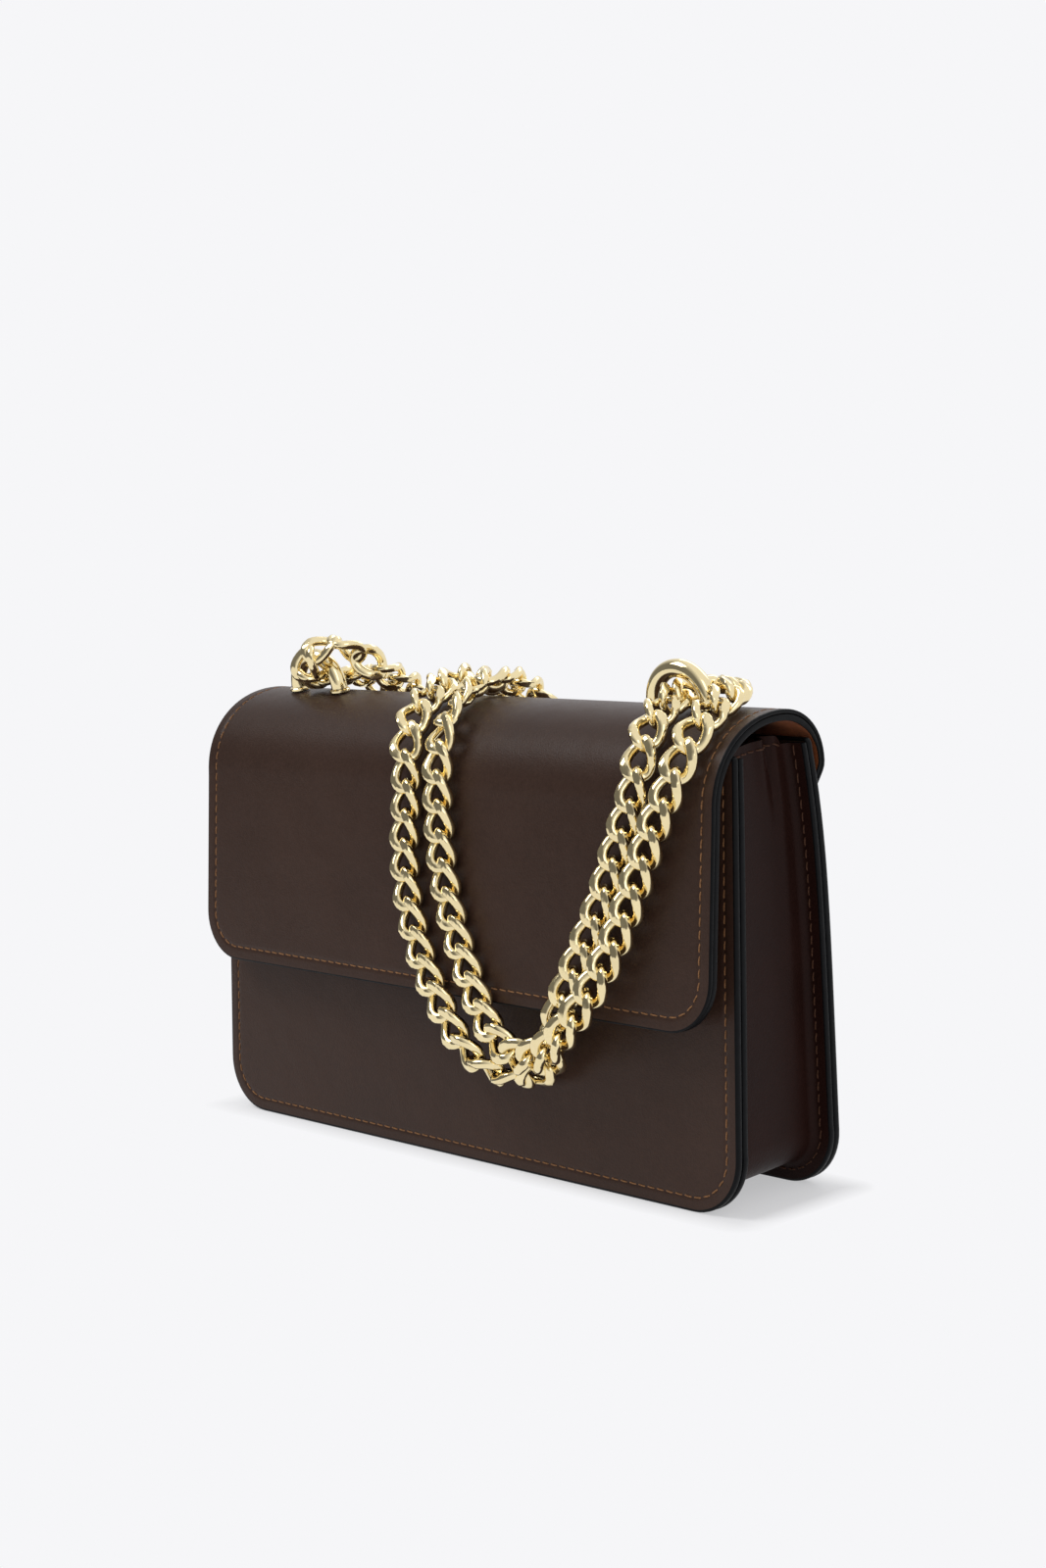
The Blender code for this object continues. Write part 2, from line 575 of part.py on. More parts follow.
def link_mesh(hooks=(False, False)):
    """Vertices of one link along +X, flat side up: a twisted oval of square wire.

    The middle line is x = a cos t, w = b sin t, both raised to a power a little under
    one. The plane that holds it turns about X from minus the twist to plus the twist, over the whole
    length or, in a half that is a hook, over the share next to the middle, which leaves the
    hook flat."""
    long_half = CHAIN_PITCH / 2 + link_reach()
    wide_half = (LINK_WIDTH - LINK_WIRE) / 2
    turns = math.tau * (np.arange(LINK_STATIONS) + 0.5) / LINK_STATIONS

    def middle(t):
        c, s = np.cos(t), np.sin(t)
        x = long_half * np.sign(c) * np.abs(c) ** LINK_FULLNESS_SHARE
        w = wide_half * np.sign(s) * np.abs(s) ** LINK_FULLNESS_SHARE
        hooked = np.where(x < 0, hooks[0], hooks[1])
        spread = long_half * np.where(hooked, HOOK_TWISTED_SHARE, 1)
        twist = LINK_TWIST * np.clip(x / spread, -1, 1)
        return np.stack([x, w * np.cos(twist), w * np.sin(twist)], axis=1), twist

    line, twist = middle(turns)
    step = math.tau / LINK_STATIONS / ROUTE_STEPS
    run = middle(turns + step)[0] - middle(turns - step)[0]
    run /= np.linalg.norm(run, axis=1)[:, None]
    up = np.stack([np.zeros_like(twist), -np.sin(twist), np.cos(twist)], axis=1)
    up -= run * np.sum(up * run, axis=1)[:, None]
    up /= np.linalg.norm(up, axis=1)[:, None]
    out = np.cross(run, up)
    corners = math.tau * (np.arange(WIRE_SIDES) + 0.5) / WIRE_SIDES
    reach = LINK_WIRE / 2
    rings = [line + reach * (math.cos(a) * out + math.sin(a) * up) for a in corners]
    return np.stack(rings, axis=1).reshape(-1, 3)


def smooth_line(points):
    """Dense points on a Catmull-Rom curve through the given points."""
    points = np.asarray(points, float)
    ends = [2 * points[0] - points[1]], [2 * points[-1] - points[-2]]
    padded = np.concatenate([ends[0], points, ends[1]])
    t = np.linspace(0, 1, ROUTE_STEPS, endpoint=False)[:, None]
    dense = []
    for a, b, c, d in zip(padded, padded[1:], padded[2:], padded[3:]):
        dense.append(b + t / 2 * (c - a + t * (2 * a - 5 * b + 4 * c - d
                                               + t * (3 * b - a - 3 * c + d))))
    dense.append(points[-1:])
    return np.concatenate(dense)


def stride(dense, pitch, count):
    """Walk along a dense line in `count` equal chords; return the knots and what is left."""
    knots, places = [dense[0]], [0.0]
    index = 0
    for _ in range(count):
        here = knots[-1]
        away = np.linalg.norm(dense - here, axis=1)
        away[:index + 1] = 0
        beyond = np.nonzero(away >= pitch)[0]
        if len(beyond) == 0:
            return knots, places, -1.0
        nxt = beyond[0]
        a, b = dense[nxt - 1], dense[nxt]
        offset, run = a - here, b - a
        qa, qb, qc = run @ run, 2 * offset @ run, offset @ offset - pitch ** 2
        share = (-qb + math.sqrt(max(qb ** 2 - 4 * qa * qc, 0.0))) / (2 * qa)
        share = min(max(share, 0.0), 1.0)
        knots.append(a + share * run)
        places.append(nxt - 1 + share)
        index = nxt - 1
    return knots, places, float(len(dense) - 1 - places[-1])


def even_knots(dense):
    """Split a dense line into whole links of equal length, as near the pitch as they go."""
    length = np.linalg.norm(np.diff(dense, axis=0), axis=1).sum()
    count = max(int(round(length / CHAIN_PITCH)), 1)
    low, high = CHAIN_PITCH / 2, CHAIN_PITCH * 2
    for _ in range(PITCH_SEARCH_STEPS):
        pitch = (low + high) / 2
        knots, places, rest = stride(dense, pitch, count)
        if rest > 0:
            low = pitch
        else:
            high = pitch
    knots, places, _ = stride(dense, low, count)
    return np.array(knots), np.array(places)


def links_along(route, facings, rolls):
    """Vertices of every link along a route.

    facings gives the flat side's direction at each route point, and rolls the turn about the
    chain's line at the first and the last link, which fades out over a few links."""
    dense = smooth_line(route)
    faces = smooth_line(facings)
    knots, places = even_knots(dense)
    count = len(knots) - 1
    whole = []
    for k, (start, end) in enumerate(zip(knots[:-1], knots[1:])):
        along = unit(end - start)
        middle = int(round((places[k] + places[k + 1]) / 2))
        up = faces[min(middle, len(faces) - 1)]
        up = unit(up - along * (up @ along))
        fade = [max(0.0, 1 - n / ROLL_FADE_LINKS) for n in (k, count - 1 - k)]
        roll = rolls[0] * fade[0] if fade[0] >= fade[1] else rolls[1] * fade[1]
        side = np.cross(along, up)
        side, up = (side * math.cos(roll) + up * math.sin(roll),
                    up * math.cos(roll) - side * math.sin(roll))
        shape = link_mesh((k == 0, k == count - 1))
        whole.append(shape @ np.stack([along, side, up]) + (start + end) / 2)
    return whole


def chain_stretch(name, route, facings, rolls, parent):
    """A run of interlocked links: every second link, united with the links between them."""
    rings = links_along(route, facings, rolls)
    origin = np.array(world_place(parent))
    per_link = tube_faces(LINK_STATIONS, WIRE_SIDES, closed=True)

    def every_second(first, part_name, look):
        vertices, faces = [], []
        for ring in rings[first::2]:
            base = len(vertices)
            vertices += [tuple(v) for v in ring - origin]
            faces += [tuple(base + i for i in face) for face in per_link]
        return solid(part_name, vertices, faces, parent, look)

    links = every_second(0, name, GOLD_FINISH)
    between = every_second(1, f"{name}_between", None)
    cut(links, between, "UNION")
    return links


def swing_point(line, place):
    """A point on a swing line, at one of the named places along X."""
    return np.array([SIDEWAYS_SWING_PLACES[place], line[0], line[1]])


def whole_route(start, points, end, hooks):
    """A stretch from one swing point to the next.

    At an end that hooks, its last link hooks round the neighbour's end wire with a running gap;
    at the other kind of end the middle of its own end wire lies on the swing point."""
    points = [np.array(p) for p in points]
    hook = LINK_WIRE + SWING_PLAY - link_reach()
    ends = [place + (hook * unit(place - near) if hooked else link_reach() * unit(near - place))
            for place, near, hooked in ((start, points[0], hooks[0]), (end, points[-1], hooks[1]))]
    return [ends[0]] + points + [ends[1]]


def level_facings(route):
    """Facings of a stretch that lies flat on the crest."""
    return np.tile(UPWARDS, (len(route), 1))


def loop_facings(route, outward):
    """Facings of a loop: up where it leaves and reaches the crest, outward on the bag's face."""
    heights = np.array([p[2] for p in route])
    rise = np.clip((heights - FLAP_SHOULDER_HEIGHT)
                   / (FLAP_CREST_HEIGHT - FLAP_SHOULDER_HEIGHT), 0, 1)[:, None]
    return np.array(outward) * (1 - rise / 2) + np.array(UPWARDS) * rise


def edge_turned(route, facings):
    """Facings of the outer front loop, turned down towards its edge about its lowest place."""
    places = np.array([p[0] for p in route])
    share = np.clip(1 - np.abs(places - EDGE_TURN_MIDDLE) / EDGE_TURN_REACH, 0, 1)[:, None]
    angle = EDGE_TURN * share
    return facings * np.cos(angle) - np.array(UPWARDS) * np.sin(angle)


def chain(flap, front, rear):
    """The closed chain: two front loops, two rear loops, two crossings and two turns.

    Each stretch has its swing places, its points, whether its ends hook, the rule for its
    facings, and the body that it belongs to."""
    point = {place: swing_point(FRONT_SWING_LINE if place.startswith("front") else
                                REAR_SWING_LINE, place) for place in SIDEWAYS_SWING_PLACES}

    def fore(route):
        return loop_facings(route, TOWARDS_FRONT)

    def aft(route):
        return loop_facings(route, TOWARDS_BACK)

    def fore_on_edge(route):
        return edge_turned(route, fore(route))

    stretches = [
        ("chain_front_outer", "front_outer_start", FRONT_OUTER_ROUTE, "front_outer_end",
         (False, False), fore_on_edge, front),
        ("chain_front_inner", "front_inner_start", FRONT_INNER_ROUTE, "front_inner_end",
         (False, True), fore, front),
        ("chain_rear_outer", "rear_outer_start", REAR_OUTER_ROUTE, "rear_outer_end",
         (False, False), aft, rear),
        ("chain_rear_inner", "rear_inner_start", REAR_INNER_ROUTE, "rear_inner_end",
         (False, True), aft, rear),
        ("chain_top_outer", "rear_inner_end", TOP_OUTER_ROUTE, "front_outer_start",
         (False, True), level_facings, flap),
        ("chain_top_inner", "front_inner_end", TOP_INNER_ROUTE, "rear_outer_start",
         (False, True), level_facings, flap),
        ("chain_right_turn", "front_outer_end", RIGHT_TURN_ROUTE, "front_inner_start",
         (True, True), level_facings, flap),
        ("chain_left_turn", "rear_outer_end", LEFT_TURN_ROUTE, "rear_inner_start",
         (True, True), turn_facings, flap)]
    quarter = math.pi / 4
    for name, start, points, end, hooks, rule, parent in stretches:
        route = whole_route(point[start], points, point[end], hooks)
        rolls = (-quarter if hooks[0] else quarter, quarter if hooks[1] else -quarter)
        chain_stretch(name, route, rule(route), rolls, parent)


def turn_facings(route):
    """Facings of a turn about the bar of an arch: away from the bar's middle."""
    height, _ = crest_at(ARCH_SETBACK)
    bar = np.array([0, ARCH_SETBACK, height + ARCH_LEG + ARCH_SPAN / 2])
    away = np.array(route) - bar
    away[:, 0] = 0
    return away / np.linalg.norm(away, axis=1)[:, None]


def bag_body(root):
    """Panels, gusset, linings, base board and the flap's sewn strip."""
    front = plate("front_panel", -1, 0.0, (0.0, PANEL_THICKNESS), 0.0, root, LEATHER_FINISH)
    plate("back_panel", 1, 0.0, (0.0, PANEL_THICKNESS), 0.0, root, LEATHER_FINISH)
    near = PANEL_THICKNESS + CLEARANCE
    far = near + GUSSET_THICKNESS
    web = GUSSET_INSET + GUSSET_THICKNESS
    section = [(0.0, -1, near), (0.0, -1, far), (GUSSET_INSET, -1, far),
               (GUSSET_INSET, 1, far), (0.0, 1, far), (0.0, 1, near), (web, 1, near),
               (web, -1, near)]
    gusset_strip("gusset", section, GUSSET_TOP_DROP, root, GUSSET_FINISH)

    inside = web + CLEARANCE
    skin = PANEL_THICKNESS + LINING_STANDOFF
    depths = (skin, skin + LINING_THICKNESS)
    plate("front_lining", -1, inside, depths, LINING_TOP_DROP, root, SUEDE_FINISH)
    plate("back_lining", 1, inside, depths, LINING_TOP_DROP, root, SUEDE_FINISH)
    within = inside + LINING_THICKNESS
    deep = depths[1] + CLEARANCE
    section = [(inside, -1, deep), (inside, 1, deep), (within, 1, deep), (within, -1, deep)]
    gusset_strip("gusset_lining", section, LINING_TOP_DROP, root, SUEDE_FINISH)

    low = within + CLEARANCE
    high = low + BOARD_THICKNESS
    length = half_width(0) - PANEL_CORNER_RADIUS
    breadth = half_depth(high) - deep - BOARD_MARGIN
    corners = [(-length, -breadth), (length, -breadth), (length, breadth), (-length, breadth)]
    vertices = [(x, y, z) for z in (low, high) for x, y in corners]
    solid("base_board", vertices, prism_faces(len(corners)), root, BOARD_FINISH)
    flap_strip(root)
    return front


def centre_on_footprint(root):
    """Move the whole bag along Y so that its box is centred on the origin."""
    bpy.context.view_layer.update()
    across = [(thing.matrix_world @ Vector(corner)).y
              for thing in bpy.data.objects
              if thing.type == "MESH" and not thing.hide_render
              for corner in thing.bound_box]
    root.location.y = -(min(across) + max(across)) / 2


def main():
    clear_scene()
    root = empty("bag", None, (0, 0, 0))
    flap = empty("flap_hinge", root, (0, FLAP_BACK_REACH - HINGE_RADIUS, HINGE_HEIGHT))
    front = empty("front_swing", flap, (0, *FRONT_SWING_LINE))
    rear = empty("rear_swing", flap, (0, *REAR_SWING_LINE))
    panel = bag_body(root)
    leather = flap_leather(flap)
    lining = flap_lining(flap)
    for name, side in (("left_arch", -1), ("right_arch", 1)):
        arch(name, side, flap)
    arch_hardware(flap, (leather, lining))
    snap(root, flap, panel, lining)
    chain(flap, front, rear)
    centre_on_footprint(root)


main()
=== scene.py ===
"""Looks of a leather crossbody bag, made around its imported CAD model.

Every piece is worked out in the bag's own frame: X along the bag, Y from the flap's face to
the back, Z up, the middle plane at y = 0, in metres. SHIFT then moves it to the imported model.
"""
import json
from collections import namedtuple

import bmesh
import bpy
import numpy as np
from mathutils import Matrix, Vector


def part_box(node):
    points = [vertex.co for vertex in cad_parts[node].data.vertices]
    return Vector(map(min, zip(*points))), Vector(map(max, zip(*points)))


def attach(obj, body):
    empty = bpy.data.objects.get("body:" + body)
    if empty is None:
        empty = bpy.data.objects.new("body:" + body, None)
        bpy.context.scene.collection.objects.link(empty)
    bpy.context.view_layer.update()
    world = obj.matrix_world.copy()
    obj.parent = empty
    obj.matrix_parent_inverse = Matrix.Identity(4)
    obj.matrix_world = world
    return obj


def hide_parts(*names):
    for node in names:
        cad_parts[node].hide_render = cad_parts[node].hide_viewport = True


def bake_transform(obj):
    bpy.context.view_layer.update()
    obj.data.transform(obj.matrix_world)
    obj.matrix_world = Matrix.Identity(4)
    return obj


bl_info = {
    "name": "Leather crossbody bag",
    "version": (1, 0, 0),
    "blender": (4, 5, 0),
    "location": "3D View > Sidebar > Bag",
    "description": "Makes the leather, stitching, suede, hardware and chain of a crossbody bag",
    "category": "Add Mesh",
}

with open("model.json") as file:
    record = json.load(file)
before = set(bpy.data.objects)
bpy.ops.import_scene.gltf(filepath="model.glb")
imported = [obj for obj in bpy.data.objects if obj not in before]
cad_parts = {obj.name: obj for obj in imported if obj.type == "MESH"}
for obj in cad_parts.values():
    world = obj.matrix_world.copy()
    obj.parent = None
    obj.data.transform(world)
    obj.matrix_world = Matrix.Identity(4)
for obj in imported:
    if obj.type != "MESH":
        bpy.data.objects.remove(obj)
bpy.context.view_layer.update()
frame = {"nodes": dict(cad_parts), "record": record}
FRONT_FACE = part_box("front_panel")[0]
BACK_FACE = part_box("back_panel")[1]
SHIFT = np.array([0.0, (FRONT_FACE.y + BACK_FACE.y) / 2, 0.0])
RECORD_COLOURS = {m["slot"]: m["base_color"] for m in frame["record"]["materials"]}
UPWARDS = np.array([0.0, 0.0, 1.0])

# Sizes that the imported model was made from.
PANEL_WIDTH = 0.2325
PANEL_TOP_WIDTH = 0.2303
PANEL_HEIGHT = 0.1328
PANEL_THICKNESS = 0.0023
PANEL_CORNER_RADIUS = 0.0175
BASE_DEPTH = 0.0473
TOP_DEPTH = 0.0380
CLEARANCE = 0.0003
GUSSET_TOP_DROP = 0.001
GUSSET_THICKNESS = 0.0021
FLAP_WIDTH = 0.2295
FLAP_LEATHER_THICKNESS = 0.0013
FLAP_LINING_THICKNESS = 0.0008
FLAP_CORNER_RADIUS = 0.016
FLAP_EDGE_HEIGHT = 0.0544
FLAP_EDGE_REACH = 0.0324
FLAP_SHOULDER_HEIGHT = 0.1167
FLAP_SHOULDER_REACH = 0.0281
FLAP_CREST_HEIGHT = 0.1443
FLAP_CREST_SETBACK = 0.003
FLAP_FULLNESS = 0.943
HINGE_HEIGHT = 0.127
STRIP_CORNER_RADIUS = 0.014
ARCH_OFFSET = 0.0825
ARCH_SETBACK = -0.0035
ARCH_SPAN = 0.021
ARCH_BAR = 0.0055
ARCH_LEG = 0.0018
COLLAR_DIAMETER = 0.0068
COLLAR_HEIGHT = 0.0012
SNAP_HEIGHT = 0.072
SNAP_DIAMETER = 0.017
SOCKET_THICKNESS = 0.0034
SOCKET_BORE = 0.0076
SOCKET_BORE_DEPTH = 0.002
STUD_PLATE = 0.0013
STUD_DIAMETER = 0.0044
STUD_HEIGHT = 0.0014
SNAP_POST = 0.004
SNAP_WASHER_THICKNESS = 0.0006
CHAIN_PITCH = 0.0092
LINK_WIRE = 0.0026
LINK_WIDTH = 0.011
LINK_BITE = 0.0006
LINK_REACH = (LINK_WIRE - LINK_BITE) / 2
SWING_PLAY = 0.0006
LINK_TWIST = np.pi / 4
HOOK_TWISTED_SHARE = 0.43
LINK_FULLNESS = 0.87
ROLL_FADE_LINKS = 3
FRONT_SWING_LINE = (-0.0120, 0.1474)
REAR_SWING_LINE = (0.0130, 0.1482)

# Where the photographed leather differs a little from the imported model.
BACK_BOW = 0.0022
BACK_LEAN = 0.0059
BACK_RISE = 0.0025
BACK_RISE_HEIGHT = 0.021
FLAP_BACK_SEEN = 0.0219
STRIP_EDGE_SEEN = 0.1140
FLAP_EXTRA_THICKNESS = 0.0009

# The chain's route: points chosen along each stretch, between the swing lines.
FRONT_OUTER_ROUTE = [
    (-0.0126, -0.0238, 0.1406), (-0.0096, -0.0308, 0.1296), (-0.0086, -0.0318, 0.1180),
    (-0.0094, -0.0326, 0.1050), (-0.0092, -0.0334, 0.0930), (-0.0064, -0.0343, 0.0790),
    (0.0000, -0.0353, 0.0635), (0.0088, -0.0359, 0.0500), (0.0176, -0.0358, 0.0393),
    (0.0266, -0.0344, 0.0336), (0.0345, -0.0317, 0.0318), (0.0418, -0.0301, 0.0326),
    (0.0480, -0.0300, 0.0372), (0.0520, -0.0310, 0.0438), (0.0555, -0.0340, 0.0503),
    (0.0592, -0.0356, 0.0570), (0.0642, -0.0354, 0.0665), (0.0700, -0.0344, 0.0780),
    (0.0762, -0.0335, 0.0909), (0.0814, -0.0325, 0.1054), (0.0856, -0.0319, 0.1156),
    (0.0890, -0.0306, 0.1290), (0.0874, -0.0238, 0.1406)]
FRONT_INNER_ROUTE = [
    (0.1048, -0.0238, 0.1406), (0.1042, -0.0308, 0.1300), (0.1010, -0.0328, 0.1210),
    (0.0974, -0.0338, 0.1136), (0.0932, -0.0345, 0.1025), (0.0876, -0.0356, 0.0886),
    (0.0822, -0.0370, 0.0765), (0.0762, -0.0390, 0.0655), (0.0696, -0.0406, 0.0562),
    (0.0622, -0.0404, 0.0488), (0.0540, -0.0390, 0.0434), (0.0453, -0.0376, 0.0405),
    (0.0366, -0.0366, 0.0414), (0.0284, -0.0361, 0.0484), (0.0215, -0.0355, 0.0605),
    (0.0150, -0.0346, 0.0734), (0.0099, -0.0337, 0.0874), (0.0068, -0.0327, 0.1028),
    (0.0058, -0.0319, 0.1158), (0.0054, -0.0308, 0.1290), (0.0028, -0.0238, 0.1406)]
REAR_OUTER_ROUTE = [
    (-0.0040, 0.0240, 0.1420), (-0.0041, 0.0284, 0.1312), (-0.0050, 0.0286, 0.1180),
    (-0.0090, 0.0286, 0.1040), (-0.0160, 0.0286, 0.0920), (-0.0270, 0.0286, 0.0830),
    (-0.0400, 0.0286, 0.0800), (-0.0530, 0.0286, 0.0830), (-0.0640, 0.0286, 0.0920),
    (-0.0710, 0.0286, 0.1040), (-0.0738, 0.0286, 0.1180), (-0.0750, 0.0284, 0.1312),
    (-0.0763, 0.0240, 0.1420)]
REAR_INNER_ROUTE = [
    (-0.0630, 0.0240, 0.1420), (-0.0628, 0.0284, 0.1312), (-0.0610, 0.0286, 0.1190),
    (-0.0560, 0.0286, 0.1070), (-0.0480, 0.0286, 0.0985), (-0.0400, 0.0286, 0.0960),
    (-0.0320, 0.0286, 0.0985), (-0.0245, 0.0286, 0.1070), (-0.0200, 0.0286, 0.1190),
    (-0.0184, 0.0284, 0.1312), (-0.0182, 0.0240, 0.1420)]
RIGHT_TURN_ROUTE = [
    (0.0838, -0.0035, 0.1487), (0.0846, 0.0035, 0.1494), (0.0888, 0.0072, 0.1501),
    (0.0942, 0.0062, 0.1503), (0.0990, 0.0010, 0.1503), (0.1032, -0.0055, 0.1499)]
LEFT_TURN_ROUTE = [
    (-0.0794, 0.0045, 0.1486), (-0.0822, -0.0035, 0.1480), (-0.0813, -0.0116, 0.1503),
    (-0.0776, -0.0130, 0.1560), (-0.0734, -0.0092, 0.1608), (-0.0686, -0.0030, 0.1600),
    (-0.0634, 0.0040, 0.1528)]
TOP_OUTER_ROUTE = [(-0.0184, 0.0070, 0.1498), (-0.0180, -0.0012, 0.1498)]
TOP_INNER_ROUTE = [(-0.0013, -0.0060, 0.1494), (-0.0028, 0.0020, 0.1498)]
SWING_PLACES = {
    "front_outer_start": -0.0152, "front_outer_end": 0.0850,
    "front_inner_start": 0.1045, "front_inner_end": 0.0002,
    "rear_outer_start": -0.0040, "rear_outer_end": -0.0776,
    "rear_inner_start": -0.0630, "rear_inner_end": -0.0182}

# The outer loop turns onto its edge at the bottom and passes behind the inner one: the middle of
# that place along X, how far it reaches to each side, and the angle.
EDGE_TURN_MIDDLE = 0.034
EDGE_TURN_REACH = 0.026
EDGE_TURN = np.radians(75)

# Camera, fitted to the photographed bag: where it looks from, and its focal length in pixels
# of a 1067 x 1600 picture.
CAMERA_AZIMUTH = np.radians(45.74)
CAMERA_ELEVATION = np.radians(6.54)
CAMERA_ROLL = np.radians(-2.09)
CAMERA_DISTANCE = 0.8052
CAMERA_SLIDE = (0.0075, 0.0361)
CAMERA_AIM_HEIGHT = 0.08
CAMERA_FOCUS_PIXELS = 2568.3
PICTURE_LONG_SIDE = 1600
SENSOR = 36.0

# Studio: name, place, aim, size and watts of each lamp, the level of the even light, and the
# unlit room that metal mirrors, whose level is reached over a span of directions.
SOFTBOXES = [("key softbox", (-0.95, -1.0, 1.9), (0, 0, 0.08), (1.1, 1.1), 21),
             ("side softbox", (1.35, -0.85, 0.85), (0, 0, 0.08), (0.5, 1.0), 1.9),
             ("rear softbox", (-0.3, 1.3, 1.3), (0, 0, 0.12), (1.6, 0.6), 5)]
EVEN_LIGHT = 0.52
ROOM_LIGHT = 0.2
ROOM_WAY = (-0.66, -0.74, -0.1)
ROOM_SPAN = 0.65

# The floor, how far the bag's shadow reaches on it, and how much of that shadow is lit away.
FLOOR_HALF = 0.8
SHADOW_REACH = 0.010
SHADOW_LIFT = 0.5


# Meshes

def grid_faces(rows, columns, wrap_rows, wrap_columns):
    """Quads (r, c), (r, c+1), (r+1, c+1), (r+1, c) between the points of a grid."""
    r = np.arange(rows if wrap_rows else rows - 1)[:, None]
    c = np.arange(columns if wrap_columns else columns - 1)[None, :]
    below, beside = (r + 1) % rows * columns, (c + 1) % columns
    corners = [r * columns + c, r * columns + beside, below + beside, below + c]
    return np.stack(np.broadcast_arrays(*corners), axis=-1).reshape(-1, 4)


def make_piece(name, grids, materials, smooth_angle=40.0, merge=2e-6, leaning=False):
    """One mesh from grids of points, its seams merged and its faces turned outwards.

    Each grid is (points, wrap_rows, wrap_columns, material number), and its points are an array
    of rows x columns x 3, or of copies x rows x columns x 3. A leaning piece takes on the lean and
    the rise of the bag's back."""
    points, faces, slots, start = [], [], [], 0
    for grid, wrap_rows, wrap_columns, slot in grids:
        grid = grid[None] if grid.ndim == 3 else grid
        copies, rows, columns, _ = grid.shape
        quads = grid_faces(rows, columns, wrap_rows, wrap_columns)
        offsets = start + np.arange(copies) * rows * columns
        points.append(grid.reshape(-1, 3))
        faces.append((quads[None] + offsets[:, None, None]).reshape(-1, 4))
        slots.append(np.full(len(faces[-1]), slot))
        start += copies * rows * columns
    points, faces, slots = np.concatenate(points), np.concatenate(faces), np.concatenate(slots)
    if leaning:
        y, height = points[:, 1].copy(), points[:, 2].copy()
        points[:, 1] += back_lean(y, height)
        points[:, 2] += back_rise(y, height)
    points += SHIFT
    mesh = bpy.data.meshes.new(name)
    mesh.vertices.add(len(points))
    mesh.vertices.foreach_set("co", points.astype(np.float32).ravel())
    mesh.loops.add(faces.size)
    mesh.loops.foreach_set("vertex_index", faces.astype(np.int32).ravel())
    mesh.polygons.add(len(faces))
    mesh.polygons.foreach_set("loop_start", np.arange(0, faces.size, 4, dtype=np.int32))
    for material in materials:
        mesh.materials.append(material)
    mesh.polygons.foreach_set("material_index", slots.astype(np.int32))
    mesh.update(calc_edges=True)
    form = bmesh.new()
    form.from_mesh(mesh)
    bmesh.ops.remove_doubles(form, verts=form.verts, dist=merge)
    bmesh.ops.dissolve_degenerate(form, dist=merge, edges=form.edges)
    bmesh.ops.recalc_face_normals(form, faces=form.faces)
    form.to_mesh(mesh)
    form.free()
    mesh.shade_smooth()
    mesh.set_sharp_from_angle(angle=np.radians(smooth_angle))
    mesh.validate()
    piece = bpy.data.objects.new(name, mesh)
    bpy.context.scene.collection.objects.link(piece)
    return piece


def quarter(steps):
    """Angles from nothing to a quarter turn."""
    return np.linspace(0, np.pi / 2, steps)


def unit(vectors):
    """Vectors divided by their lengths."""
    return vectors / np.maximum(np.linalg.norm(vectors, axis=-1, keepdims=True), 1e-12)


def squared_up(vectors, along):
    """Vectors less their share along a direction, then divided by their lengths."""
    return unit(vectors - along * np.sum(vectors * along, axis=1, keepdims=True))


def lengths_along(line):
    """Length run from the first point to each point of a line."""
    steps = np.linalg.norm(np.diff(line, axis=0), axis=1)
    return np.concatenate([[0.0], np.cumsum(steps)])


def resample(line, places, runs):
    """Points of a line at given lengths along it, where runs are the lengths at its own points."""
    return np.stack([np.interp(places, runs, line[:, k]) for k in range(line.shape[1])], axis=-1)


# Shapes of the bag

def half_depth(height):
    """Distance from the middle plane to a panel's outer face: it falls evenly with height."""
    return (BASE_DEPTH + (TOP_DEPTH - BASE_DEPTH) * np.asarray(height) / PANEL_HEIGHT) / 2


def half_width(height):
    """Distance from the middle to a panel's side edge: it falls evenly with height."""
    return (PANEL_WIDTH + (PANEL_TOP_WIDTH - PANEL_WIDTH) * np.asarray(height) / PANEL_HEIGHT) / 2


def share_back(y, height):
    """Share of the way from the front face, 0, to the back face, 1."""
    return np.clip((y / half_depth(height) + 1) / 2, 0, 1)


def back_lean(y, height):
    """How far the bag's back stands off its flat plane: a bow outwards that turns in at the top.

    With u the height over the panel's, it is bow u - lean u^6 at the back, and it falls evenly to
    nothing at the front."""
    u = np.clip(height / PANEL_HEIGHT, 0, 1.02)
    return share_back(y, height) * (BACK_BOW * u - BACK_LEAN * u ** 6)


def back_rise(y, height):
    """How much higher the back's top stands than the front's.

    It is rise s^1.5 u^2, with s the share of the way back and u growing over the top stretch."""
    up = np.clip(1 - (PANEL_HEIGHT - height) / BACK_RISE_HEIGHT, 0, 1)
    return BACK_RISE * share_back(y, height) ** 1.5 * up ** 2


# A plate lies in a flat plan: s runs from its lower edge to its upper one and x across.
Plan = namedtuple("Plan", "length half low_radius high_radius stations columns")

# Rows of a corner and of a rounded edge, how square that edge is, and how far each rounding
# reaches in from the edge.
CORNER_ROWS, RIM_ROWS = 15, 9
EDGE_SQUARENESS = 0.72
PANEL_RIM, FLAP_RIM, SUEDE_RIM = 0.0009, 0.0006, 0.0005

# The panels' rows and columns, their small top corners, and where the rows stop below the top.
PANEL_ROWS, PANEL_COLUMNS = 22, 41
PANEL_TOP_RADIUS = 0.0015
PANEL_TOP_MARGIN = 0.010

# Insets of the rings between a plate's face and its edge, close together at the stitch row.
RING_INSETS = np.array([9.0, 7.0, 5.8, 5.2, 4.8, 4.4, 4.0, 3.6, 3.0, 2.2, 1.4]) * 1e-3


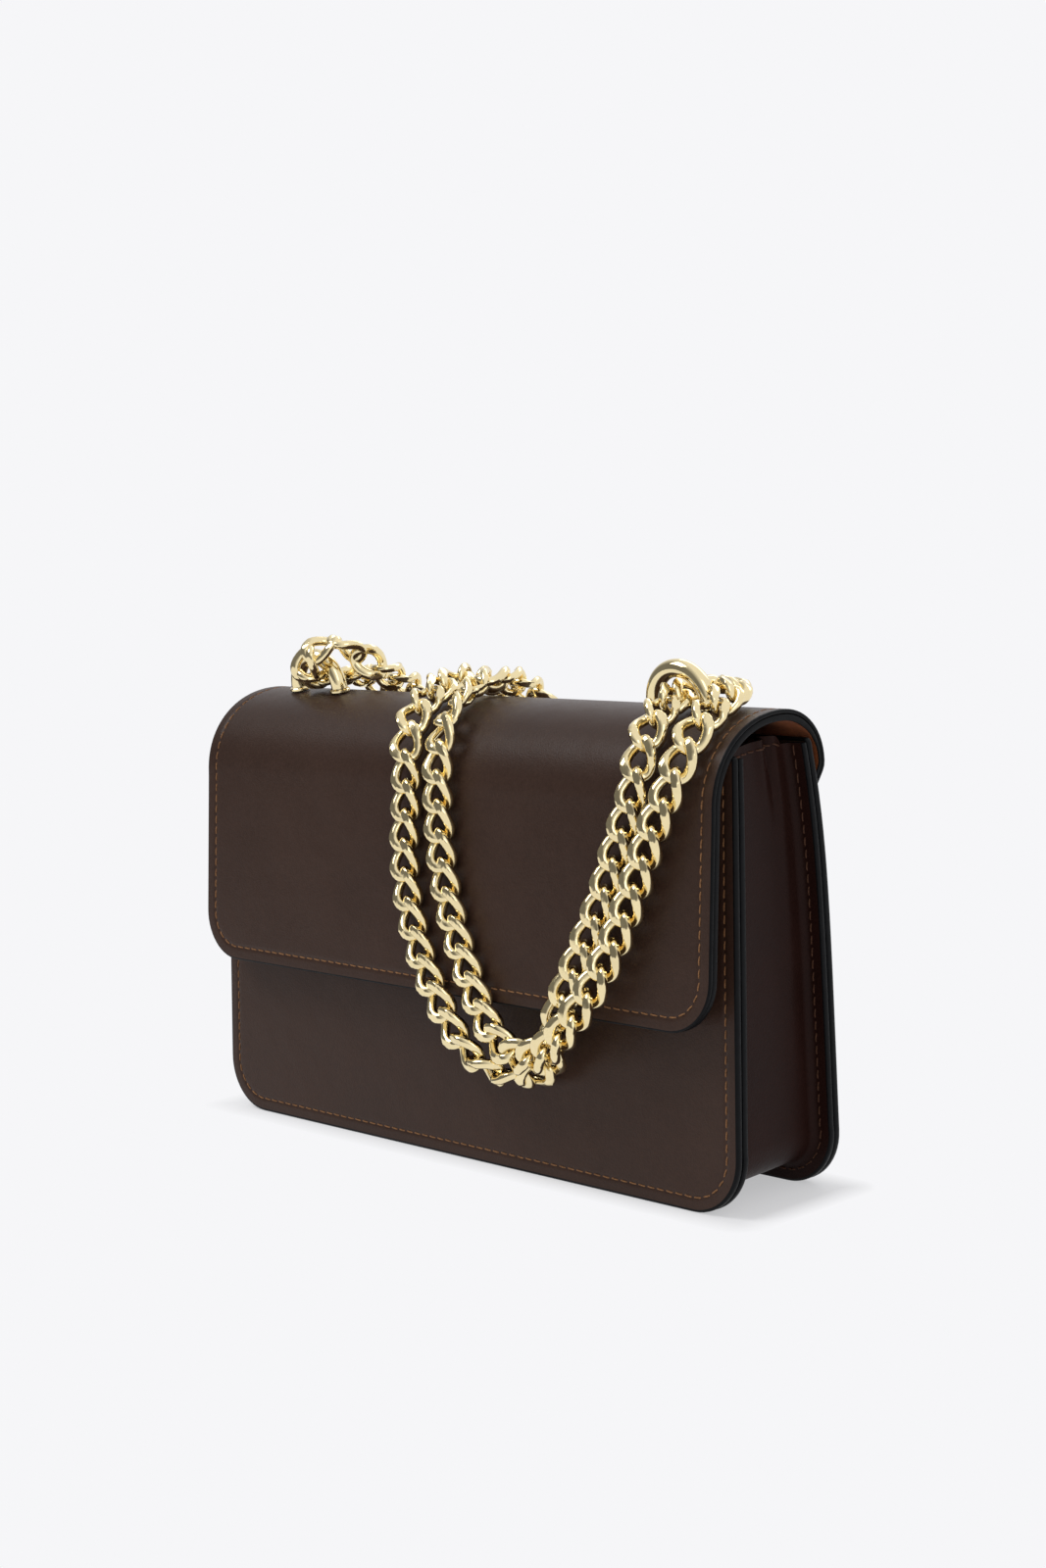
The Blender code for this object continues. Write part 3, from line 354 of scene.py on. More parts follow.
def plan_rows(plan, inset):
    """Rows (s, half width) of a plate's outline moved inwards by an inset.

    In a corner of radius R, s = inset + r (1 - cos a) and half = full half - inset - r (1 - sin a),
    with r = R - inset or nothing; between the corners, half = full half - inset."""
    turn = quarter(CORNER_ROWS)
    low, high = max(plan.low_radius - inset, 0), max(plan.high_radius - inset, 0)
    s_low = inset + low * (1 - np.cos(turn))
    half_low = plan.half(s_low) - inset - low * (1 - np.sin(turn))
    s_high = plan.length - inset - high * (1 - np.sin(turn))
    half_high = plan.half(s_high) - inset - high * (1 - np.cos(turn))
    s = np.concatenate([s_low, plan.stations, s_high])
    return s, np.concatenate([half_low, plan.half(plan.stations) - inset, half_high])


def plan_grid(plan, inset):
    """Points (x, s) of a plate's whole face inside an outline."""
    s, half = plan_rows(plan, inset)
    across = np.linspace(-1, 1, plan.columns)
    return np.stack([half[:, None] * across, np.repeat(s[:, None], plan.columns, 1)], axis=-1)


def plan_ring(plan, inset):
    """Points (x, s) once round a plate's outline moved inwards, as the face's border has them."""
    grid = plan_grid(plan, inset)
    return np.concatenate([grid[0], grid[1:-1, -1], grid[-1, ::-1], grid[-2:0:-1, 0]])


def rim_section(thickness, reach):
    """Rounded edge of a plate: inset = reach (1 - sin^q a), depth = T/2 (1 - cos^q a)."""
    turn = np.linspace(0, np.pi, RIM_ROWS)
    wave = np.sign(np.cos(turn)) * np.abs(np.cos(turn)) ** EDGE_SQUARENESS
    inset = reach * (1 - np.sin(turn).clip(0) ** EDGE_SQUARENESS)
    return np.stack([inset, thickness / 2 * (1 - wave)], axis=1)


def plate_grids(plan, place, low, thickness, reach, sizes=None):
    """Grids of a closed plate: two faces, the rings between face and edge, and the painted edge.

    place(x, s, depth) puts a point of the plan in space, and the plate lies between the depths
    low and low + T. Where sizes are given, its outer face has the furrow that the thread pulls
    in: a bell of depth d and width w round the stitch row, d exp(-((inset - row) / w)^2)."""
    furrow = 0 * RING_INSETS
    if sizes is not None:
        away = (RING_INSETS - sizes.stitch_inset) / sizes.groove_width
        furrow = sizes.groove_depth * np.exp(-away ** 2)
    rim = rim_section(thickness, reach)
    outer = np.concatenate([np.stack([RING_INSETS, furrow], axis=1), rim[:1]])
    inner = np.stack([RING_INSETS, 0 * RING_INSETS + thickness], axis=1)
    inner = np.concatenate([rim[-1:], inner[::-1]])

    def lay(flat, depth):
        return place(flat[..., 0], flat[..., 1], low + depth)

    grids = [(np.stack([lay(plan_ring(plan, inset), depth) for inset, depth in section]),
              False, True, slot) for section, slot in ((outer, 0), (rim, 1), (inner, 0))]
    return grids + [(lay(plan_grid(plan, inset), depth), False, False, 0)
                    for inset, depth in (outer[0], inner[-1])]


def panel_plan():
    """Plan of a panel, whose s is its height."""
    stations = np.linspace(PANEL_CORNER_RADIUS, PANEL_HEIGHT - PANEL_TOP_MARGIN, PANEL_ROWS)[1:]
    return Plan(PANEL_HEIGHT, half_width, PANEL_CORNER_RADIUS, PANEL_TOP_RADIUS, stations,
                PANEL_COLUMNS)


def panel_place(side):
    """Puts a point of a panel's plan in space: y = side (half depth(s) - depth), z = s."""
    def place(x, s, depth):
        return np.stack([x, side * (half_depth(s) - depth), s + 0 * x], axis=-1)
    return place


# Steps of the flap's line: of each arc, of its sewn end and of the whole, how many neighbours
# soften a point, and the height over which the leather comes to lie on the back.
ARC_STEPS, SEWN_STEPS, LINE_POINTS = 60, 50, 700
SOFTENED_POINTS = 13
SEWN_EASE = 0.007


def flap_line():
    """Outer line (y, z) of the whole flap leather, from its free edge to its sewn end.

    A straight face; two quarters y = c^k, z = s^k of sine and cosine up to the crest and down to
    the hinge; then a soft bend to the back panel's outside, which it follows downwards. The whole
    is laid out in even steps and softened by a running mean."""
    share = np.linspace(0, 1, ARC_STEPS, endpoint=False)
    face = np.stack([-FLAP_EDGE_REACH + (FLAP_EDGE_REACH - FLAP_SHOULDER_REACH) * share,
                     FLAP_EDGE_HEIGHT + (FLAP_SHOULDER_HEIGHT - FLAP_EDGE_HEIGHT) * share], axis=1)
    turn = quarter(ARC_STEPS)
    sine, cosine = np.sin(turn) ** FLAP_FULLNESS, np.cos(turn).clip(0) ** FLAP_FULLNESS
    fore = np.stack([FLAP_CREST_SETBACK - (FLAP_SHOULDER_REACH + FLAP_CREST_SETBACK) * cosine,
                     FLAP_SHOULDER_HEIGHT + (FLAP_CREST_HEIGHT - FLAP_SHOULDER_HEIGHT) * sine],
                    axis=1)
    aft = np.stack([FLAP_CREST_SETBACK + (FLAP_BACK_SEEN - FLAP_CREST_SETBACK) * sine,
                    HINGE_HEIGHT + (FLAP_CREST_HEIGHT - HINGE_HEIGHT) * cosine], axis=1)
    heights = np.linspace(HINGE_HEIGHT, STRIP_EDGE_SEEN, SEWN_STEPS)[1:]
    lying = half_depth(heights) + FLAP_LEATHER_THICKNESS + FLAP_LINING_THICKNESS + 2 * CLEARANCE
    lying = lying + back_lean(half_depth(heights), heights)
    ease = np.clip((HINGE_HEIGHT - heights) / SEWN_EASE, 0, 1)
    ease = ease * ease * (3 - 2 * ease)
    sewn = np.stack([FLAP_BACK_SEEN + (lying - FLAP_BACK_SEEN) * ease, heights], axis=1)
    line = np.concatenate([face, fore, aft[1:], sewn])
    runs = lengths_along(line)
    even = resample(line, np.linspace(0, runs[-1], LINE_POINTS), runs)
    weights = np.hanning(SOFTENED_POINTS + 2)[1:-1]
    weights /= weights.sum()
    padded = np.pad(even, ((SOFTENED_POINTS // 2,) * 2, (0, 0)), "reflect", reflect_type="odd")
    return np.stack([np.convolve(padded[:, k], weights, "valid") for k in (0, 1)], axis=1)


FLAP_LINE = flap_line()
FLAP_RUNS = lengths_along(FLAP_LINE)
FLAP_AHEAD = unit(np.gradient(FLAP_LINE, FLAP_RUNS, axis=0))

# Rows of the flap's plan: a few on its straight face, and close ones from the shoulder on.
FLAP_STRAIGHT_ROWS, FLAP_COLUMNS = 12, 47
FLAP_STRAIGHT_END = 0.060
FLAP_CLOSE_START = 0.0615
FLAP_CLOSE_STEP = 0.0016

# The flap's suede: the depth where it starts, its thickness, how much narrower it is, and where
# its extra thickness fades: how far before the sewn end, and over what length.
SUEDE_START = FLAP_LEATHER_THICKNESS + CLEARANCE / 3
SUEDE_DEPTH = FLAP_LINING_THICKNESS + CLEARANCE
SUEDE_MARGIN = 0.0001
SUEDE_THINNING = (0.030, 0.012)


def flap_plan(margin=0.0):
    """Plan of the flap, whose s runs along its outer line from the free edge."""
    straight = np.linspace(FLAP_CORNER_RADIUS, FLAP_STRAIGHT_END, FLAP_STRAIGHT_ROWS)[1:]
    curved = np.arange(FLAP_CLOSE_START, FLAP_RUNS[-1] - STRIP_CORNER_RADIUS, FLAP_CLOSE_STEP)
    stations = np.concatenate([straight, curved])
    return Plan(FLAP_RUNS[-1], lambda s: FLAP_WIDTH / 2 - margin + 0 * s, FLAP_CORNER_RADIUS,
                STRIP_CORNER_RADIUS, stations, FLAP_COLUMNS)


def flap_place(x, s, depth):
    """Puts a point of the flap's plan in space: the outer line at s, less depth along its normal."""
    y, z = np.moveaxis(resample(FLAP_LINE, s, FLAP_RUNS), -1, 0)
    dy, dz = np.moveaxis(resample(FLAP_AHEAD, s, FLAP_RUNS), -1, 0)
    return np.stack([x, y + dz * depth, z - dy * depth], axis=-1)


def suede_place(x, s, depth):
    """As flap_place, but the suede side stands deeper, by an amount that fades near the sewn end."""
    start, length = SUEDE_THINNING
    thin = np.clip((s - (FLAP_RUNS[-1] - start)) / length, 0, 1)
    return flap_place(x, s, depth + (depth - SUEDE_START) / SUEDE_DEPTH
                      * FLAP_EXTRA_THICKNESS * (1 - thin))


# Stitches

# Steps along a stitch and faces round it, and the small steps that give directions.
THREAD_STEPS, THREAD_SIDES = 9, 6
NEARBY, OUTWARDS = 4e-4, 1e-3


def stitch_row(name, path, outward, sizes, thread, leaning=True):
    """Stitches along a line: each is a short thread whose two ends dive into the leather.

    Along u from -1 to 1, the thread runs by u L/2, rises by h (1 - u^2) - d u^6, leans sideways by
    u b / 2, and its radius is r sqrt(1 - u^8)."""
    runs = lengths_along(path)
    count = int(round(runs[-1] / sizes.stitch_length))
    places = (np.arange(count) + 0.5) * runs[-1] / count
    centre = resample(path, places, runs)
    ahead = unit(resample(path, places + NEARBY, runs) - resample(path, places - NEARBY, runs))
    up = squared_up(resample(outward, places, runs), ahead)
    side = np.cross(ahead, up)
    u = np.linspace(-1, 1, THREAD_STEPS)
    radius = sizes.thread_diameter / 2 * np.sqrt(1 - u ** 8)
    along = u * sizes.stitch_length * sizes.stitch_share / 2
    rise = sizes.thread_rise * (1 - u ** 2) - sizes.thread_dive * u ** 6
    lean = u * sizes.stitch_lean / 2
    turn = np.linspace(0, 2 * np.pi, THREAD_SIDES, endpoint=False)
    line = (centre[:, None] + along[None, :, None] * ahead[:, None]
            + rise[None, :, None] * up[:, None] + lean[None, :, None] * side[:, None])
    ring = (np.cos(turn)[None, :, None] * side[:, None] + np.sin(turn)[None, :, None] * up[:, None])
    grid = line[:, :, None] + radius[None, :, None, None] * ring[:, None]
    return make_piece(name, [(grid, False, True, 0)], [finish(thread)], smooth_angle=60,
                      merge=1e-7, leaning=leaning)


def furrow_path(plan, place, sizes, open_top):
    """The bottom of a plate's furrow as a line in space, and the outward direction along it.

    An open line leaves out the plan's upper edge."""
    grid = plan_grid(plan, sizes.stitch_inset)
    sides = [grid[::-1, 0], grid[0, 1:-1], grid[:, -1]]
    flat = np.concatenate(sides if open_top else sides + [grid[-1, ::-1]])
    keep = np.linalg.norm(np.diff(flat, axis=0, prepend=flat[:1] - 1), axis=1) > 1e-7
    x, s = flat[keep].T
    line = place(x, s, sizes.groove_depth)
    return line, unit(place(x, s, sizes.groove_depth - OUTWARDS) - line)


# Gusset

# Steps along its outline: half the base, a corner and a side. Rows across it: a flange's rounded
# edge, its flat, the two valleys and the web.
GUSSET_BASE_STEPS, GUSSET_CORNER_STEPS, GUSSET_SIDE_STEPS = 24, 25, 60
FLANGE_RIM_ROWS, FLANGE_FLAT_ROWS = 6, 6
FRONT_VALLEY_ROWS, REAR_VALLEY_ROWS = 8, 12
WEB_ROWS = 28

# Radii of the valleys, how far in the web stands, and the rounding and stitch row of a flange.
FRONT_VALLEY, REAR_VALLEY = 0.0010, 0.0026
FRONT_WEB_INSET, REAR_WEB_INSET = 0.0050, 0.0064
FLANGE_RIM = 0.0008
FLANGE_STITCH_INSET = 0.0038

# Below the still height the web is flat. Places and widths are shares of the way across: the
# soft ridge, the crease, which drifts rearwards further down, and the swell beside it.
WEB_STILL_HEIGHT = 0.02
RIDGE_PLACE, RIDGE_WIDTH = 0.86, 0.07
CREASE_PLACE, CREASE_DRIFT, CREASE_WIDTH = 0.74, 0.08, 0.06
SWELL_SHARE, SWELL_STEP, SWELL_WIDTH = 0.4, 0.16, 0.1
OPEN_END = 0.018


def gusset_edge():
    """Outline (x, z) of the panels from left top to right top, with inward normals.

    Each half is a straight base, a quarter circle (sin a, 1 - cos a) and the side edge."""
    turn, radius = quarter(GUSSET_CORNER_STEPS), PANEL_CORNER_RADIUS
    heights = np.linspace(radius, PANEL_HEIGHT - GUSSET_TOP_DROP, GUSSET_SIDE_STEPS)[1:]
    middle = np.linspace(0, half_width(0) - radius, GUSSET_BASE_STEPS)[:-1]
    x = np.concatenate([middle, half_width(0) - radius + radius * np.sin(turn), half_width(heights)])
    z = np.concatenate([0 * middle, radius - radius * np.cos(turn), heights])
    inward_x = np.concatenate([0 * middle, -np.sin(turn), 0 * heights - 1])
    inward_z = np.concatenate([0 * middle + 1, np.cos(turn), 0 * heights])
    right = np.stack([x, z, inward_x, inward_z], axis=1)
    return np.concatenate([right[:0:-1] * np.array([-1, 1, -1, 1]), right])


def flange_section(sizes, way, web_inset, valley, valley_rows):
    """A flange's rows (inset, w, o, f) on its seen and hidden side, from its edge to its valley.

    Way is -1 for the front flange and 1 for the rear one. The edge is rounded as a plate's is,
    a flat follows, and the valley is a quarter turn of its own radius."""
    edge, bend = quarter(FLANGE_RIM_ROWS), quarter(valley_rows)
    flat = np.linspace(0, 1, FLANGE_FLAT_ROWS)[1:-1]
    thick = GUSSET_THICKNESS * np.cos(bend) ** 2 + sizes.web_thickness * np.sin(bend) ** 2
    centre = web_inset - valley
    sides = []
    for half, radius in ((1, valley), (-1, valley + thick)):
        inset = np.concatenate([FLANGE_RIM * (1 - np.cos(edge) ** EDGE_SQUARENESS),
                                FLANGE_RIM + (centre - FLANGE_RIM) * flat,
                                centre + radius * np.sin(bend)])
        o = np.concatenate([GUSSET_THICKNESS / 2 * (1 + half * np.sin(edge) ** EDGE_SQUARENESS),
                            GUSSET_THICKNESS / 2 * (1 + half) + 0 * flat,
                            GUSSET_THICKNESS + valley - radius * np.cos(bend)])
        sides.append(np.stack([inset, 0 * inset + way, -way * o, 0 * inset + (way > 0)], axis=1))
    return sides


def gusset_section(sizes):
    """Section of the gusset from its front flange's edge to its rear one.

    Returns the seen side and the hidden side as rows of (inset, w, o, f), where a point lies at
    y = w (half depth - panel) + o and f runs from 0 to 1 across the web between the flanges."""
    front = flange_section(sizes, -1, FRONT_WEB_INSET, FRONT_VALLEY, FRONT_VALLEY_ROWS)
    rear = flange_section(sizes, 1, REAR_WEB_INSET, REAR_VALLEY, REAR_VALLEY_ROWS)
    f = np.linspace(0, 1, WEB_ROWS)[1:-1]
    inset = FRONT_WEB_INSET + (REAR_WEB_INSET - FRONT_WEB_INSET) * f
    o = (1 - f) * (GUSSET_THICKNESS + FRONT_VALLEY) - f * (GUSSET_THICKNESS + REAR_VALLEY)
    seen = np.stack([inset, 2 * f - 1, o, f], axis=1)
    hidden = np.stack([inset + sizes.web_thickness, 2 * f - 1, o, f], axis=1)
    return [np.concatenate([front[k], web, rear[k][::-1]]) for k, web in enumerate((seen, hidden))]


def bell(f, place, width):
    """A bell-shaped hump, exp(-((f - place) / width)^2)."""
    return np.exp(-((f - place) / width) ** 2)


def web_sag(f, height, sizes):
    """How far the web sinks in, by its share f across and its height.

    A bow f (1 - f) that grows towards the open top, a soft ridge beside the rear valley, and a
    pinched crease near the rear top: a narrow bell beside a broad opposite one, fading downwards."""
    up = np.clip((height - WEB_STILL_HEIGHT) / (PANEL_HEIGHT - WEB_STILL_HEIGHT), 0, 1)
    bow = 4 * f * (1 - f) * sizes.web_bow * up ** 1.5
    ridge = sizes.web_ridge * bell(f, RIDGE_PLACE, RIDGE_WIDTH) * up
    fade = np.clip((height - (PANEL_HEIGHT - sizes.crease_length)) / sizes.crease_length, 0, 1)
    place = CREASE_PLACE + CREASE_DRIFT * (1 - fade)
    crease = bell(f, place, CREASE_WIDTH) - SWELL_SHARE * bell(f, place - SWELL_STEP, SWELL_WIDTH)
    pinch = sizes.crease_depth * crease * fade ** 1.6
    return bow - ridge + pinch * np.sin(np.pi * np.clip(f, 0, 1)) ** 0.5


def web_rise(f, height, sizes):
    """How far the web's open end stands above its flanges.

    It grows a little towards the rear, by 0.85 + 0.5 f, and falls quickly to both flanges, by
    1 - e^(-f / 0.03) and 1 - e^((f - 1) / 0.05)."""
    up = np.clip(1 - (PANEL_HEIGHT - GUSSET_TOP_DROP - height) / OPEN_END, 0, 1) ** 2
    return (sizes.web_rise * up * (0.85 + 0.5 * f)
            * (1 - np.exp(-f / 0.03)) * (1 - np.exp((f - 1) / 0.05)))


def gusset_points(edge, section, sizes, lift=0.0):
    """Points of the gusset: each section row laid along the outline, sunk in by the web's sag."""
    inset, w, o, f = (section[None, :, k] for k in range(4))
    x, z, inward_x, inward_z = (edge[:, k, None] for k in range(4))
    inside = (f > 0) & (f < 1)
    deep = inset + np.where(inside, web_sag(f, z, sizes), 0) - lift
    height = z + inward_z * deep
    y = w * (half_depth(height) - PANEL_THICKNESS - CLEARANCE) + o
    height = height + np.where(inside, web_rise(f, z, sizes), 0)
    return np.stack([x + inward_x * deep, y, height], axis=-1)


def gusset_grids(sizes):
    """Grids of the closed gusset: leather, painted flange edges and painted top ends."""
    sides = [gusset_points(gusset_edge(), section, sizes) for section in gusset_section(sizes)]
    rim = FLANGE_RIM_ROWS - 1
    grids = [(side[:, rim:-rim], False, False, 0) for side in sides]
    grids += [(side[:, end], False, False, 1)
              for end in (slice(0, rim + 1), slice(-rim - 1, None)) for side in sides]
    return grids + [(np.stack([side[row] for side in sides]), False, False, 1) for row in (0, -1)]


# Suede pouch

POUCH_SIDE_INSET = 0.0090
POUCH_FLOOR = 0.0099
POUCH_TOP = PANEL_HEIGHT - 0.0030
POUCH_CORNER = 0.0030
POUCH_LOW_CORNER = 0.0085

# Rings on its floor, in the low corner and up the wall; steps round a corner, along a side and
# over the mouth.
POUCH_FLOOR_RINGS, POUCH_LOW_RINGS, POUCH_WALL_RINGS = 5, 9, 18
POUCH_CORNER_STEPS, POUCH_SIDE_STEPS, POUCH_MOUTH_STEPS = 6, 25, 7


def pouch_rings(inwards):
    """Rings of the pouch, from the middle of its floor up to its mouth.

    A ring is a rounded rectangle in X and Y. In the low corner its height is
    floor + R (1 - cos a) and its half width is full half width - R (1 - sin a)."""
    radius, turn = POUCH_LOW_CORNER - inwards, quarter(POUCH_LOW_RINGS)
    heights = np.linspace(POUCH_FLOOR + POUCH_LOW_CORNER, POUCH_TOP, POUCH_WALL_RINGS)[1:]
    z = np.concatenate([POUCH_FLOOR + inwards + radius * (1 - np.cos(turn)), heights])
    loss = np.concatenate([radius * (1 - np.sin(turn)), 0 * heights])
    corner, bend = POUCH_CORNER - inwards, quarter(POUCH_CORNER_STEPS)
    wide = (half_width(z) - POUCH_SIDE_INSET - inwards - loss - corner)[:, None]
    deep = (half_depth(z) - PANEL_THICKNESS - CLEARANCE - inwards - corner)[:, None]
    front = wide * np.linspace(-1, 1, POUCH_SIDE_STEPS)[1:-1]
    xs, ys = [front], [0 * front - deep - corner]
    for sx, sy in ((1, -1), (1, 1), (-1, 1), (-1, -1)):
        angles = bend if sx * sy < 0 else bend[::-1]
        if (sx, sy) == (-1, 1):
            xs.append(-front)
            ys.append(0 * front + deep + corner)
        xs.append(sx * (wide + corner * np.sin(angles)))
        ys.append(sy * (deep + corner * np.cos(angles)))
    x = np.concatenate(xs, axis=1)
    wall = np.stack([x, np.concatenate(ys, axis=1), np.repeat(z[:, None], x.shape[1], 1)], axis=-1)
    floor = np.repeat(wall[:1], POUCH_FLOOR_RINGS, 0)
    floor[..., 1] *= np.linspace(0, 1, POUCH_FLOOR_RINGS + 1)[:-1, None]
    return np.concatenate([floor, wall])


def pouch_grids(sizes):
    """Grids of the closed pouch: outer wall, inner wall and the folded mouth between them."""
    outside, inside = pouch_rings(0.0), pouch_rings(sizes.suede_thickness)
    turn = np.linspace(0, np.pi, POUCH_MOUTH_STEPS)[:, None, None]
    middle, reach = (outside[-1] + inside[-1]) / 2, (outside[-1] - inside[-1]) / 2
    mouth = middle + np.cos(turn) * reach + np.sin(turn) * UPWARDS * sizes.suede_thickness / 2
    return [(grid, False, True, 0) for grid in (outside, inside, mouth)]


# Turned and bent metal

# Bevels of the turned pieces and faces round them; steps along an arch and faces round its bar.
COLLAR_BEVEL, COLLAR_SIDES = 0.0003, 40
SNAP_BEVEL, SNAP_SIDES = 0.0004, 56
ARCH_STEPS, ARCH_SIDES = 49, 28


def eased(profile, ease):
    """A profile whose corners, apart from those on the axis, are cut by a small bevel."""
    profile = np.asarray(profile, float)
    points = []
    for k, point in enumerate(profile):
        if point[0] == 0:
            points.append(point)
            continue
        for other in (profile[k - 1], profile[(k + 1) % len(profile)]):
            away = other - point
            length = max(np.linalg.norm(away), 1e-9)
            points.append(point + away / length * min(ease, length / 3))
    return np.array(points + [points[0]])


def seat(points, x, y, z, tilt):
    """Points turned about X by a tilt and moved to a seat."""
    turn = np.array([[1, 0, 0], [0, np.cos(tilt), np.sin(tilt)], [0, -np.sin(tilt), np.cos(tilt)]])
    return points @ turn + np.array([x, y, z])


def turned_piece(name, profile, bevel, steps, *place):
    """A gold piece: its (radius, height) profile turned about Z, x = r cos t and y = r sin t."""
    profile = eased(profile, bevel)
    turn = np.linspace(0, 2 * np.pi, steps, endpoint=False)
    x, y = profile[:, :1] * np.cos(turn), profile[:, :1] * np.sin(turn)
    grid = np.stack([x, y, np.repeat(profile[:, 1:], steps, 1)], axis=-1)
    return make_piece(name, [(seat(grid, *place), True, True, 0)], [finish("gold plate")],
                      smooth_angle=30)


def crest_seat():
    """Height and slope of the flap's outer line where the arches stand."""
    over = FLAP_LINE[(FLAP_LINE[:, 1] >= FLAP_SHOULDER_HEIGHT)]
    places = ARCH_SETBACK + np.array([-0.5, 0, 0.5]) * ARCH_BAR
    heights = np.interp(places, over[:, 0], over[:, 1])
    return heights[1], np.arctan2(heights[2] - heights[0], ARCH_BAR)


def arch_grid():
    """Half ring of round bar on two short legs: the bar's circle carried along the arch.

    The middle line is x = R cos t, z = leg + R sin t."""
    radius, bar = ARCH_SPAN / 2, ARCH_BAR / 2
    low = COLLAR_HEIGHT + 2 * CLEARANCE
    turn = np.linspace(np.pi, 0, ARCH_STEPS)
    line = np.stack([radius * np.cos(turn), ARCH_LEG + radius * np.sin(turn)], axis=1)
    line = np.concatenate([[(-radius, low)], line, [(radius, low)]])
    facing = np.concatenate([[np.pi], turn, [0.0]])
    around = np.linspace(0, 2 * np.pi, ARCH_SIDES, endpoint=False)
    reach = bar * np.cos(around)
    x = line[:, :1] + np.cos(facing)[:, None] * reach
    z = line[:, 1:] + np.sin(facing)[:, None] * reach
    tube = np.stack([x, np.repeat(bar * np.sin(around)[None], len(line), 0), z], axis=-1)
    caps = [np.repeat(tube[k].mean(0)[None, None], len(around), 1) for k in (0, -1)]
    return np.concatenate([caps[0], tube, caps[1]])


# Chain

# The small turn that gives a link's direction, steps of a route from one given point to the
# next, and how often the search for the even pitch halves its range.
NEARBY_TURN = 0.02
SMOOTH_STEPS = 12
HALVINGS = 40


def link_shape(sizes, hooks, end):
    """One link along +X, its flat side up: rows round the oval, columns round the wire.

    The middle line is x = a cos t, w = b sin t, both raised to a power a little under one. Its plane
    turns about X from minus the twist to plus the twist, over the whole length or, in a half that is
    a hook, over the share next to the middle. The wire is pressed wider than thick, and what stands
    above the cut height is cut flat. A stretch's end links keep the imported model's thinner round
    wire, so that they turn in each other."""
    wire, spread, width = sizes.wire, sizes.wire_spread, sizes.link_width
    if end:
        wire, spread, width = LINK_WIRE, 1.0, LINK_WIDTH
    a, b = CHAIN_PITCH / 2 + LINK_REACH, (width - wire * spread) / 2
    turns = 2 * np.pi * (np.arange(sizes.link_stations) + 0.5) / sizes.link_stations

    def middle(t):
        c, s = np.cos(t), np.sin(t)
        x = a * np.sign(c) * np.abs(c) ** LINK_FULLNESS
        w = b * np.sign(s) * np.abs(s) ** LINK_FULLNESS
        hooked = np.where(x < 0, hooks[0], hooks[1])
        twist = LINK_TWIST * np.clip(x / (a * np.where(hooked, HOOK_TWISTED_SHARE, 1)), -1, 1)
        return np.stack([x, w * np.cos(twist), w * np.sin(twist)], axis=1), twist

    line, twist = middle(turns)
    run = unit(middle(turns + NEARBY_TURN)[0] - middle(turns - NEARBY_TURN)[0])
    up = squared_up(np.stack([0 * twist, -np.sin(twist), np.cos(twist)], axis=1), run)
    out = np.cross(run, up)
    around = 2 * np.pi * np.arange(sizes.wire_sides) / sizes.wire_sides
    ring = (spread * np.cos(around)[None, :, None] * out[:, None]
            + np.sin(around)[None, :, None] * up[:, None])
    shape = line[:, None] + wire / 2 * ring
    shape[..., 2] = np.clip(shape[..., 2], -sizes.cut_height, sizes.cut_height)
    return shape


def smooth_line(points):
    """Dense points on a Catmull-Rom curve through the given points."""
    padded = np.concatenate([[2 * points[0] - points[1]], points, [2 * points[-1] - points[-2]]])
    t = np.linspace(0, 1, SMOOTH_STEPS, endpoint=False)[None, :, None]
    a, b, c, d = (padded[k:len(padded) - 3 + k, None] for k in range(4))
    dense = b + t / 2 * (c - a + t * (2 * a - 5 * b + 4 * c - d + t * (3 * b - a - 3 * c + d)))
    return np.concatenate([dense.reshape(-1, 3), points[-1:]])


def stride(dense, pitch, count):
    """Walk along a dense line in equal chords; return the knots, their places and what is left."""
    knots, places, index = [dense[0]], [0.0], 0
    for _ in range(count):
        here = knots[-1]
        away = np.linalg.norm(dense - here, axis=1)
        away[:index + 1] = 0
        beyond = np.nonzero(away >= pitch)[0]
        if len(beyond) == 0:
            return knots, places, -1.0
        index = beyond[0] - 1
        offset, run = dense[index] - here, dense[index + 1] - dense[index]
        qa, qb, qc = run @ run, 2 * offset @ run, offset @ offset - pitch ** 2
        share = (-qb + np.sqrt(max(qb ** 2 - 4 * qa * qc, 0.0))) / (2 * qa)
        share = min(max(share, 0.0), 1.0)
        knots.append(dense[index] + share * run)
        places.append(index + share)
    return knots, places, float(len(dense) - 1 - places[-1])


def even_knots(dense):
    """Split a dense line into whole links of equal length, as near the pitch as they go."""
    count = max(int(round(lengths_along(dense)[-1] / CHAIN_PITCH)), 1)
    low, high = CHAIN_PITCH / 2, CHAIN_PITCH * 2
    for _ in range(HALVINGS):
        pitch = (low + high) / 2
        low, high = (pitch, high) if stride(dense, pitch, count)[2] > 0 else (low, pitch)
    knots, places, _ = stride(dense, low, count)
    return np.array(knots), np.array(places)


